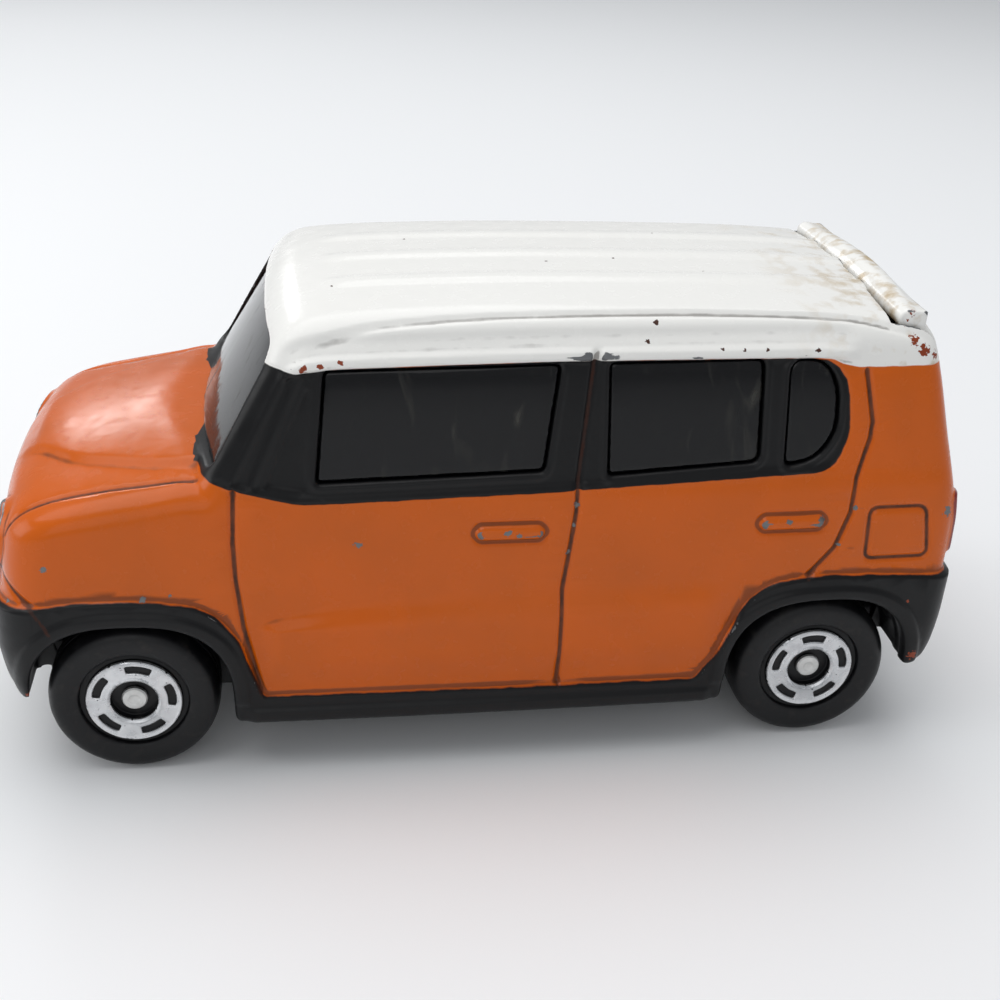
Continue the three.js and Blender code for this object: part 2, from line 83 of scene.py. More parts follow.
CLADDING_PROUD = 0.35
NOSE = shell_high[0] - 0.3
TAIL = shell_low[0] + 0.3
SIDE = shell_high[1] - CLADDING_PROUD
SILL = shell_low[2]
ROOF = shell_high[2]
FRONT_AXLE = (wheel_low[0] + wheel_high[0]) / 2
REAR_AXLE = (rear_low[0] + rear_high[0]) / 2
AXLE_Z = (wheel_low[2] + wheel_high[2]) / 2
WHEEL_RADIUS = (wheel_high[2] - wheel_low[2]) / 2
WHEEL_FACE = wheel_high[1]
WHEEL_BACK = wheel_low[1]
WALL = 1.0
SHUT_LINE = 0.15
PANE_GAP = 0.07
GATE_HALF = SIDE - 3.3
ROOF_END = HINGE[0] + 0.8
BELT = SILL + 15.7
RAIL = ROOF - 3.1
FRONT_RIVET = NOSE - 3.4
REAR_RIVET = TAIL + 3.4
INSERT_REAR = HINGE[0] + 1.95
BUMPER_TOP = 6.85  # above the axles
SCREEN_DEEP = 12.5  # how far behind the front axle the windscreen reaches
SPRING_ROOT = 5.4  # from an axle to where its leaf spring is clamped

# Cells of the distance fields.

VOXEL = 0.125

# ---- Camera, floor and light ---------------------------------------------------------------

CAMERA_PLACE = (10.27, 79.71, 54.19)  # millimetres; above the car and to its left
CAMERA_RIGHT = (-0.98979, 0.13685, 0.0392)
CAMERA_FORWARD = (-0.1392, -0.8738, -0.4659)
BOARD_SIZE = 3.0  # metres, so its edge stays out of sight


def make_camera():
    data = bpy.data.cameras.new("camera")
    data.lens = 48.06
    data.sensor_width = 36.0
    data.clip_start = 0.005
    camera = bpy.data.objects.new("camera", data)
    right = Vector(CAMERA_RIGHT).normalized()
    forward = Vector(CAMERA_FORWARD).normalized()
    up = right.cross(forward)
    turn = Matrix((right, up, -forward)).transposed().to_4x4()
    camera.matrix_world = Matrix.Translation(Vector(CAMERA_PLACE) * MM) @ turn
    bpy.context.collection.objects.link(camera)
    bpy.context.scene.camera = camera


def srgb(code, alpha=1.0):
    """An sRGB hex colour as the linear RGBA that shaders take."""
    channels = [int(code[i:i + 2], 16) / 255 for i in (0, 2, 4)]
    linear = [c / 12.92 if c <= 0.04045 else ((c + 0.055) / 1.055) ** 2.4 for c in channels]
    return (*linear, alpha)


COORDINATES = "ShaderNodeTexCoord"
NOISE = "ShaderNodeTexNoise"
MATH = "ShaderNodeMath"
MAP_RANGE = "ShaderNodeMapRange"
MIX = "ShaderNodeMix"
BUMP = "ShaderNodeBump"
PRINCIPLED = "ShaderNodeBsdfPrincipled"
OUTPUT = "ShaderNodeOutputMaterial"


def node(tree, kind, inputs=None, **settings):
    """One node with its settings. An input is a value, a socket, or a node for its first output."""
    made = tree.nodes.new(kind)
    for name, value in settings.items():
        setattr(made, name, value)
    for socket, value in (inputs or {}).items():
        if isinstance(value, bpy.types.Node):
            value = value.outputs[0]
        if isinstance(value, bpy.types.NodeSocket):
            tree.links.new(value, made.inputs[socket])
        else:
            made.inputs[socket].default_value = value
    return made


def new_material(name):
    made = bpy.data.materials.new(name)
    made.use_nodes = True
    made.node_tree.nodes.clear()
    return made, made.node_tree


def surfaced(material, values):
    """Ends a material's tree with the surface that those values describe."""
    tree = material.node_tree
    node(tree, OUTPUT, {"Surface": node(tree, PRINCIPLED, values)})
    return material


def set_colours():
    bpy.context.scene.view_settings.view_transform = "Standard"


def make_stage():
    """A matt pale board under the car, and an even cool light from all round."""
    board, _tree = new_material("pale_board")
    surfaced(board, {"Base Color": srgb("F1F2F3"), "Roughness": 0.55})
    bpy.ops.mesh.primitive_plane_add(size=BOARD_SIZE)
    floor = bpy.context.object
    floor.name = "floor"
    floor.data.materials.append(board)
    world = bpy.data.worlds.new("studio")
    bpy.context.scene.world = world
    world.use_nodes = True
    sky = world.node_tree.nodes["Background"]
    sky.inputs["Color"].default_value = srgb("F4F7FB")
    sky.inputs["Strength"].default_value = 0.44


def area_light(name, place, target, width, height, power):
    data = bpy.data.lights.new(name, "AREA")
    data.shape = "RECTANGLE"
    data.size = width
    data.size_y = height
    data.energy = power
    light = bpy.data.objects.new(name, data)
    light.location = place
    light.rotation_euler = (Vector(target) - Vector(place)).to_track_quat("-Z", "Y").to_euler()
    bpy.context.collection.objects.link(light)


def make_lights():
    """A broad window overhead, a far one for the roof's edge, and two weak fills. Places are metres."""
    middle = (0, 0, 0.012)
    area_light("window", (0.05, -0.07, 0.36), middle, 0.50, 0.36, 1.1)
    area_light("far_window", (0.12, -0.33, 0.16), (0.02, 0, 0.02), 0.07, 0.045, 0.07)
    area_light("fill", (0.10, 0.40, 0.22), middle, 0.35, 0.25, 0.2)
    area_light("nose_fill", (0.42, -0.02, 0.16), middle, 0.25, 0.2, 0.3)


make_camera()
set_colours()
make_stage()
make_lights()

# ---- Curves and outlines -------------------------------------------------------------------


def curve(t, points):
    """A smooth line through (t, value) points that never overshoots them, level beyond its ends."""
    knots, values = np.array(sorted(points), dtype=np.float64).T
    steps = np.diff(values) / np.diff(knots)
    before, after = steps[:-1], steps[1:]
    same_way = before * after > 0
    blend = np.where(same_way, 2 * before * after / np.where(same_way, before + after, 1), 0)
    slopes = np.concatenate([steps[:1], blend, steps[-1:]])
    i = np.clip(np.searchsorted(knots, t) - 1, 0, len(knots) - 2)
    h = knots[i + 1] - knots[i]
    s = np.clip((t - knots[i]) / h, 0, 1)
    rise = s * s * (3 - 2 * s)
    line = values[i] + (values[i + 1] - values[i]) * rise
    bend = h * (slopes[i] * s * (1 - s) ** 2 - slopes[i + 1] * s * s * (1 - s))
    return (line + bend).astype(F32)


def ramp(t):
    """0 below 0, 1 above 1, smooth between."""
    t = np.clip(t, 0, 1)
    return t * t * (3 - 2 * t)


def within(field, soft):
    """1 inside a field's zero line, 0 outside, over a soft edge that wide."""
    return ramp(0.5 - field / soft)


def largest(*fields):
    """The largest of several fields: what shapes have in common, or where any of some masks is."""
    return functools.reduce(np.maximum, fields)


def smooth_max(a, b, k):
    """The larger of two fields, with their crossing rounded over k."""
    h = np.clip(0.5 + 0.5 * (a - b) / k, 0, 1)
    return b + (a - b) * h + k * h * (1 - h)


def smooth_min(a, b, k):
    return -smooth_max(-a, -b, k)


def rounded(corners, steps=5):
    """An outline of [a, b, radius] corners with each corner rounded off."""
    outline = []
    count = len(corners)
    for i, corner in enumerate(corners):
        here = np.array(corner[:2], float)
        radius = corner[2] if len(corner) > 2 else 0
        back = np.array(corners[i - 1][:2], float) - here
        ahead = np.array(corners[(i + 1) % count][:2], float) - here
        reach = min(radius, np.linalg.norm(back) * 0.48, np.linalg.norm(ahead) * 0.48)
        if reach < 0.02:
            outline.append(here)
            continue
        start = here + back / np.linalg.norm(back) * reach
        end = here + ahead / np.linalg.norm(ahead) * reach
        for t in np.linspace(0, 1, steps):
            outline.append(start * (1 - t) ** 2 + here * 2 * t * (1 - t) + end * t * t)
    return np.array(outline)


def mirrored(half, axis=0):
    """A whole outline from one half of its corners, mirrored along one of its two axes."""
    other = [list(corner) for corner in reversed(half)]
    for corner in other:
        corner[axis] = -corner[axis]
    return half + other


def distance_to_line(points, a, b, closed=False):
    """Distance in the plane (a, b) from a line through points."""
    points = np.asarray(points, float)
    ends = np.roll(points, -1, axis=0) if closed else points[1:]
    best = np.full(np.broadcast(a, b).shape, 1e9, F32)
    for p, q in zip(points, ends):
        along = q - p
        t = np.clip(((a - p[0]) * along[0] + (b - p[1]) * along[1]) / (along @ along + 1e-12), 0, 1)
        gap = (a - p[0] - t * along[0]) ** 2 + (b - p[1] - t * along[1]) ** 2
        best = np.minimum(best, gap)
    return np.sqrt(best).astype(F32)


def signed_line(points, a, b):
    """Distance from a line through points, negative on its right-hand side."""
    points = np.asarray(points, float)
    best = np.full(np.broadcast(a, b).shape, 1e9)
    for p, q in zip(points, points[1:]):
        along = q - p
        t = np.clip(((a - p[0]) * along[0] + (b - p[1]) * along[1]) / (along @ along), 0, 1)
        gap = np.hypot(a - p[0] - t * along[0], b - p[1] - t * along[1])
        side = np.where((b - p[1]) * along[0] - (a - p[0]) * along[1] < 0, -gap, gap)
        best = np.where(gap < np.abs(best), side, best)
    return best


def outline_field(outline, a, b):
    """Signed distance to a closed outline, negative inside."""
    inside = np.zeros(np.broadcast(a, b).shape, bool)
    for p, q in zip(outline, np.roll(outline, -1, axis=0)):
        crosses = (p[1] > b) != (q[1] > b)
        if p[1] != q[1]:
            inside ^= crosses & (a < (q[0] - p[0]) * (b - p[1]) / (q[1] - p[1]) + p[0])
    gap = distance_to_line(outline, a, b, closed=True)
    return np.where(inside, -gap, gap)


def groove(distance, width, depth):
    """How deep a rounded groove of that width cuts at a distance from its line."""
    return depth * ramp(1.35 - distance / (width / 2))


# ---- Outlines of the casting's features, (x, z) from the side --------------------------------

A = FRONT_AXLE
R = REAR_AXLE
WINDOW_LEDGE = [(A - 5.4, BELT + 0.25), (A - 7.2, BELT - 0.3), (A - 10.1, BELT - 1.0), (A - 11.4, BELT - 1.0),
                (A - 25, BELT - 0.65), (A - 27.7, BELT - 0.5), (R + 0.9, BELT + 0.1)]
FRAMES = rounded([
    [A - 3.2, BELT + 0.6], *[[x, z, 0.5] for x, z in WINDOW_LEDGE[:6]],
    [R + 0.6, BELT + 0.05, 1.4], [R - 0.35, BELT + 2.2, 2.2], [R + 0.3, RAIL, 2.4], [A - 25, RAIL + 0.12],
    [A - 12.2, RAIL - 0.2], [A - 10.6, RAIL - 0.35, 0.3], [A - 9, RAIL - 0.1], [A - 3, RAIL - 0.1],
])
FRONT_GLASS = rounded([
    [A - 11.8, RAIL - 0.35, 0.3], [A - 11.2, BELT + 0.05, 0.3], [A - 24.4, BELT + 0.45, 0.4],
    [A - 25.2, RAIL - 0.15, 0.4],
])
REAR_GLASS = rounded([
    [A - 28.0, RAIL - 0.12, 0.3], [A - 28.15, BELT + 0.1, 0.3], [R + 5.15, BELT + 0.65, 0.6],
    [R + 5.3, RAIL - 0.05, 0.5],
])
QUARTER_GLASS = rounded([
    [R + 3.75, RAIL - 0.1, 0.9], [R + 3.6, BELT + 0.35, 0.5], [R + 1.7, BELT + 0.65, 1.2],
    [R + 0.45, BELT + 2.3, 1.2], [R + 0.6, BELT + 5.2, 1.4], [R + 1.6, RAIL - 0.15, 1.4],
])
FRONT_TRIANGLE = rounded([
    [A - 8.3, BELT - 0.1, 0.3], [A - 10.5, BELT - 0.5, 0.3], [A - 10.9, RAIL - 1.2, 0.3],
])
DOOR_FRONT = [(A - 6.55, BELT - 0.25), (A - 6.4, BELT - 3.3), (A - 6.45, BELT - 5.5),
              (A - 6.75, AXLE_Z + 5.2), (A - 7.6, AXLE_Z + 0.6)]
DOOR_MIDDLE = [(A - 27.1, RAIL + 0.3), (A - 26.35, BELT - 0.6), (A - 26.3, BELT - 2), (A - 26.1, BELT - 3.6),
               (A - 25.7, BELT - 7), (A - 25.75, AXLE_Z + 0.3)]
DOOR_REAR = [(R - 0.95, RAIL - 0.8), (R - 1.65, RAIL - 3.9), (R - 1.6, RAIL - 4.9), (R - 1.0, BELT - 0.45),
             (R - 0.85, BELT - 2.6), (R - 0.1, BELT - 4.9), (R + 1.4, BELT - 6.8)]
FENDER_LINE = [(A + 9.5, BELT - 3.2), (A + 7.0, BELT - 5.6), (A + 5.1, BELT - 7.2), (A + 4.3, BELT - 8.6)]
FUEL_FLAP = rounded([
    [R - 2.1, BELT - 2.35, 0.6], [R - 5.75, BELT - 2.35, 0.6], [R - 6.3, BELT - 5.75, 0.6],
    [R - 2.2, BELT - 5.75, 0.5],
])
HANDLES = [(A - 22.4, BELT - 3.05), (R + 2.85, BELT - 3.05)]
HANDLE_HALF = (2.05, 0.42)

CLADDING = rounded([
    [NOSE + 5, SILL - 2], [NOSE + 5, AXLE_Z + BUMPER_TOP], [A + 5.5, AXLE_Z + 6.9, 1],
    [A + 2.6, AXLE_Z + 7.28, 2], [A - 1.2, AXLE_Z + 7.3, 2], [A - 4.6, AXLE_Z + 6.75, 2],
    [A - 6.3, AXLE_Z + 4.9, 1.6], [A - 7.0, AXLE_Z + 2.6, 1], [A - 7.75, AXLE_Z + 0.3, 0.3],
    [R + 7.9, AXLE_Z + 0.15, 0.3], [R + 6.9, AXLE_Z + 1.8, 0.8], [R + 6.2, AXLE_Z + 3.6, 1],
    [R + 5.2, AXLE_Z + 5.8, 1.4], [R + 3.8, AXLE_Z + 6.9, 1.6], [R + 1.4, AXLE_Z + 7.35, 2],
    [R - 2.5, AXLE_Z + 7.3, 2], [R - 6, AXLE_Z + 7.05], [TAIL - 5, AXLE_Z + 6.7], [TAIL - 5, SILL - 2],
])


def arch_field(x, z, axle_x):
    """Distance to a wheel arch's opening: a squarish round above the axle, straight below it."""
    wide, tall, power = 5.95, 5.62, 2.6
    dx = np.abs(x - axle_x) / wide
    dz = np.maximum(z - AXLE_Z, 0) / tall
    return ((dx ** power + dz ** power) ** (1 / power) - 1) * 5.8


def arches(x, z):
    return np.minimum(arch_field(x, z, FRONT_AXLE), arch_field(x, z, REAR_AXLE))


# ---- The casting's surfaces --------------------------------------------------------------------

SIDE_PROFILE = [(-1, 0.3), (1.5, 0.12), (4.5, 0.02), (7, 0.05), (10, 0.08), (12.5, 0.25), (14.5, 0.5),
                (15.8, 0.78), (17.5, 1.05), (20.5, 1.5), (22.7, 1.92), (23.8, 2.25), (24.8, 2.75), (26, 3.8)]


def half_width(x, z):
    """The door skins seen from the front: upright below, leaning in above the belt."""
    inward = curve(z - SILL, SIDE_PROFILE)
    return SIDE - inward - 0.25 * ((x + 3) / 22) ** 2


def side_relief(x, z):
    """What stands out of the door skins, or is cut into them, in millimetres."""
    upper = curve(x, [(R + 4, BELT - 6.6), (R + 8, BELT - 6.5), (A - 25.5, BELT - 6.35),
                      (A - 17.7, BELT - 6.85), (A - 12.4, BELT - 7.4), (A - 7.7, BELT - 8.6)])
    lower = curve(x, [(R + 4, BELT - 8.3), (R + 8, BELT - 8.8), (A - 25.5, BELT - 9.0), (A - 12, BELT - 9.15),
                      (A - 7.7, BELT - 9.0)])
    doors = ramp((A - 7.4 - x) / 1.5) * ramp((x - R - 5.5) / 2.5)
    relief = 0.42 * doors * ramp((upper - z) / np.maximum(upper - lower, 0.6)) * ramp((z - SILL - 2.4) / 2.5)

    cladding = outline_field(CLADDING, x, z)
    relief = relief + CLADDING_PROUD * within(cladding, 0.22)
    opening = arches(x, z)
    relief = relief + 0.2 * ramp((1.05 - opening) / 0.25) * ramp((z - SILL - 1.2) / 0.6)
    between = ramp((A - 6.5 - x) / 0.8) * ramp((x - R - 6.5) / 0.8)
    relief = relief + 0.22 * between * ramp((SILL + 1.2 - z) / 0.25)

    for line in SHUT_LINES:
        relief = relief - groove(distance_to_line(line, x, z), 0.4, 0.2) * ramp(0.5 + cladding / 0.2)
    relief = relief - groove(np.abs(outline_field(FUEL_FLAP, x, z)), 0.42, 0.16)
    for hx, hz in HANDLES:
        along = np.maximum(np.abs(x - hx) - HANDLE_HALF[0] + HANDLE_HALF[1], 0)
        bar = np.sqrt(along ** 2 + (z - hz) ** 2) - HANDLE_HALF[1]
        relief = relief - 0.12 * ramp((0.42 - bar) / 0.3) + 0.36 * ramp((0.12 - bar) / 0.3)

    frames = outline_field(FRAMES, x, z)
    relief = relief - 0.16 * within(frames, 0.2)
    ledge = distance_to_line(WINDOW_LEDGE, x, z)
    relief = relief + 0.22 * ramp(1 - ledge / 0.42) * within(frames, 0.2)
    for glass in (FRONT_GLASS, REAR_GLASS, QUARTER_GLASS):
        rim = outline_field(glass, x, z)
        relief = relief + 0.12 * ramp(1 - np.abs(rim - 0.25) / 0.3) * ramp(-frames / 0.2)
    relief = relief - 0.16 * within(outline_field(FRONT_TRIANGLE, x, z), 0.2)
    for base_x, top_x in ((A - 6.3, A - 9.6), (A - 7.6, A - 10.4)):
        bar = distance_to_line([(base_x, BELT), (top_x, RAIL - 0.6)], x, z)
        relief = relief + 0.16 * ramp(1 - bar / 0.42) * ramp(-frames / 0.2)

    drip = curve(x, [(R - 2, RAIL + 0.25), (R + 1.5, RAIL + 0.8), (R + 4, RAIL + 0.85), (A - 27, RAIL + 0.85),
                     (A - 13, RAIL + 0.6), (A - 11, RAIL + 0.45), (A - 9.5, RAIL - 0.1)])
    run = ramp((A - 9.2 - x) / 1.0) * ramp((x - R + 0.6) / 1.2)
    notch = ramp(np.abs(x - A + 27.2) / 0.3 - 0.3)
    relief = relief + 0.26 * run * notch * ramp((drip - z) / 0.18) * ramp((z - drip + 0.85) / 0.25)
    relief = relief - 0.2 * run * ramp(1 - np.abs(z - drip - 0.55) / 0.6)
    return relief


ROOF_RIBS = (0.0, 4.35)


def roof_height(x, y):
    """The roof skin, crowned along the car and across it."""
    line = curve(x, [(TAIL + 1.5, ROOF - 1.15), (TAIL + 5, ROOF - 0.72), (TAIL + 11, ROOF - 0.28),
                     (R + 11, ROOF - 0.08), (A - 23, ROOF), (A - 16, ROOF - 0.12), (A - 12, ROOF - 0.36),
                     (A - 9.6, ROOF - 0.8), (A - 8, ROOF - 1.3)])
    return line - 0.0062 * y * y


def roof_relief(x, y):
    """Three flat ribs, and the groove that runs along each side of the roof."""
    run = ramp((A - 11.4 - x) / 2.2) * ramp((x - ROOF_END + 0.6) / 0.8)
    ribs = sum(ramp(1.25 - np.abs(y - rib) / 0.85) for rib in ROOF_RIBS)
    edge = curve(x, [(TAIL + 5, 9.9), (TAIL + 9, 9.3), (A - 33, 9.15), (A - 22, 9.35), (A - 15, 9.75),
                     (A - 11.5, 10.3), (A - 10.2, 11.0)])
    return 0.15 * run * ribs - groove(np.abs(y - edge), 0.42, 0.26)


def hood_height(x, y):
    """The hood skin, falling from the windscreen to the nose."""
    line = curve(x, [(A - 12, BELT + 0.75), (A - 4.2, BELT + 0.75), (A - 1.9, BELT + 0.35),
                     (A + 1, BELT - 0.15), (A + 4.1, BELT - 0.75), (A + 6.3, BELT - 1.4),
                     (A + 8, BELT - 2.2)])
    return line - 0.0068 * y * y


HOOD_SEAM = [(A - 5, 10.6), (A - 2, 10.15), (A + 2, 9.85), (A + 6.5, 10.2), (A + 8, 10.5)]


def hood_relief(x, y):
    """The raised middle of the hood, and the seams beside it."""
    dome = curve(x, [(A - 3.5, 9.3), (A - 2, 8.8), (A + 0.4, 7.8), (A + 2.9, 6.5), (A + 5.1, 4.4),
                     (A + 7, 3.0)])
    seam = curve(x, HOOD_SEAM)
    raised = 0.36 * ramp((dome - y) / 0.9) * ramp((A + 7.5 - x) / 2)
    return raised - groove(np.abs(y - seam), 0.36, 0.18) * ramp((x - A + 5.2) / 0.3)


def screen_field(x, y, z):
    """The plane of the windscreen, bowed across the car: positive in front of it."""
    foot_x, foot_z = A - 4.05, BELT + 0.85
    lean = (7.3 / 8.55, 4.45 / 8.55)
    return (x - foot_x + 0.0095 * y * y) * lean[0] + (z - foot_z) * lean[1]


def nose_line(y, z):
    """How far forward the front face stands at each height."""
    line = curve(z - SILL, [(-1, NOSE - 1.4), (1.5, NOSE - 0.9), (3.5, NOSE - 0.25), (6, NOSE),
                            (8.4, NOSE - 0.1), (9.2, NOSE - 0.35), (11.5, NOSE - 0.7), (13.5, NOSE - 1.2),
                            (14.6, NOSE - 1.9)])
    return line - 0.0085 * y * y


def tail_line(y, z):
    """How far back the rear face stands at each height."""
    line = curve(z - SILL, [(-1, TAIL + 1.0), (1.5, TAIL + 0.7), (3.5, TAIL + 0.15), (6, TAIL - 0.1),
                            (9, TAIL - 0.15), (11.7, TAIL - 0.15), (13.5, TAIL), (15, TAIL + 0.3),
                            (17.5, TAIL + 0.95), (21.2, TAIL + 1.9), (23.2, TAIL + 2.5), (24.6, TAIL + 3.2),
                            (25.5, TAIL + 4.2)])
    return line + 0.002 * y * y


LAMP = (SIDE - 4.6, BELT - 4.3, 1.85)  # y, z and radius of a headlamp
GRILLE_HALF = SIDE - 6.6
GRILLE_Z = BELT - 4.3


def nose_relief(y, z):
    """Headlamps, slatted grille, intake, plate and fog lamps."""
    lamp = np.hypot(y - LAMP[0], z - LAMP[1]) - LAMP[2]
    relief = CLADDING_PROUD * within(z - AXLE_Z - BUMPER_TOP, 0.22)
    relief = relief + 0.35 * ramp((0.15 - np.abs(lamp)) / 0.25 + 0.5) + 0.3 * ramp(-lamp / 1.8)
    slot = np.maximum(y - GRILLE_HALF, np.abs(z - GRILLE_Z) - 1.15)
    slats = 0.5 + 0.5 * np.cos((z - GRILLE_Z) * 2 * math.pi / 0.75)
    relief = relief - 0.42 * within(slot, 0.25) + 0.3 * slats * ramp(-slot / 0.2)
    intake = np.maximum(y - 6.2, np.abs(z - AXLE_Z - 2.0) - 1.0)
    relief = relief - 0.45 * within(intake, 0.3)
    plate = np.maximum(y - 2.9, np.abs(z - AXLE_Z - 5.3) - 0.95)
    relief = relief + 0.25 * within(plate, 0.2)
    fog = np.hypot(y - SIDE + 4.1, z - AXLE_Z - 2.2) - 0.75
    return relief - 0.2 * within(fog, 0.25)


REAR_LAMP = rounded([[SIDE - 2.45, BELT - 6.0, 0.4], [SIDE - 1.1, BELT - 6.0, 0.4],
                     [SIDE - 1.25, BELT - 1.9, 0.4], [SIDE - 2.45, BELT - 1.9, 0.4]])
GATE = rounded(mirrored([
    [SIDE - 2.75, AXLE_Z + 7.4, 1.2], [SIDE - 2.6, BELT - 2, 4], [GATE_HALF, ROOF - 2.4, 1],
    [GATE_HALF, ROOF + 4],
]))
REAR_GLASS_HOLE = rounded(mirrored([[SIDE - 4.3, BELT + 0.3, 1], [SIDE - 4.9, ROOF - 3.2, 1]]))


def tail_relief(y, z):
    """Rear lamps, plate recess, handle bar, reflectors and the window rim."""
    relief = CLADDING_PROUD * within(z - AXLE_Z - BUMPER_TOP, 0.22)
    lamp = outline_field(REAR_LAMP, y, z)
    relief = relief + 0.25 * within(lamp, 0.2)
    plate = np.maximum(y - 3.0, np.abs(z - BELT + 4.6) - 1.15)
    relief = relief - 0.22 * within(plate, 0.25)
    bar = np.maximum(y - 3.4, np.abs(z - BELT + 2.9) - 0.3)
    relief = relief + 0.28 * within(bar, 0.25)
    reflector = np.maximum(np.abs(y - SIDE + 3.9) - 1.3, np.abs(z - AXLE_Z - 3.4) - 0.38)
    relief = relief + 0.18 * within(reflector, 0.2)
    rim = outline_field(REAR_GLASS_HOLE, y, z)
    return relief + 0.12 * ramp(1 - np.abs(rim - 0.35) / 0.35)


def underside(x):
    """The lower edge of the skin: sills lowest, bumpers higher."""
    return curve(x, [(TAIL, SILL + 2.1), (R - 5.5, SILL + 1.9), (R - 3, SILL), (A + 3, SILL),
                     (A + 5.5, SILL + 1.9), (NOSE, SILL + 1.3)])


SCREEN_HOLE = rounded([
    [-(SIDE - 1.95), BELT + 0.7, 0.8], [SIDE - 1.95, BELT + 0.7, 0.8], [SIDE - 3.35, ROOF - 2.5, 1.2],
    [0, ROOF - 2.0, 6], [-(SIDE - 3.35), ROOF - 2.5, 1.2],
])


def round_well(x, z, axle_x):
    """Distance to the round room that a wheel needs, straight below its axle."""
    return np.hypot(x - axle_x, np.maximum(z - AXLE_Z, 0)) - WHEEL_RADIUS - 1.1


class Grid:
    """Sample points over the left half of a box: signed distances are worked out on them."""

    def __init__(self, low, high):
        self.origin = np.array([low[0], -3 * VOXEL, low[2]])
        count = np.ceil((np.array(high) - self.origin) / VOXEL).astype(int) + 1
        x, y, z = (self.origin[i] + VOXEL * np.arange(count[i]) for i in range(3))
        self.x = x.astype(F32)[:, None, None]
        self.y = np.abs(y).astype(F32)[None, :, None]
        self.z = z.astype(F32)[None, None, :]

    def from_side(self, outline):
        """Distance to an (x, z) outline drawn through the whole width."""
        return outline_field(outline, self.x[:, :, 0], self.z[:, 0, :])[:, None, :]

    def from_behind(self, outline):
        """Distance to a (y, z) outline drawn through the whole length."""
        return outline_field(outline, self.y[0], self.z[0])[None]

    def from_above(self, outline):
        """Distance to an (x, y) outline drawn through the whole height."""
        return outline_field(outline, self.x[:, :, 0], self.y[:, :, 0])[:, :, None]


# How far the big surfaces round into each other.
NOSE_CORNER, TAIL_CORNER, SHOULDER = 2.6, 1.8, 1.35
BROW, COWL = 1.1, 0.3


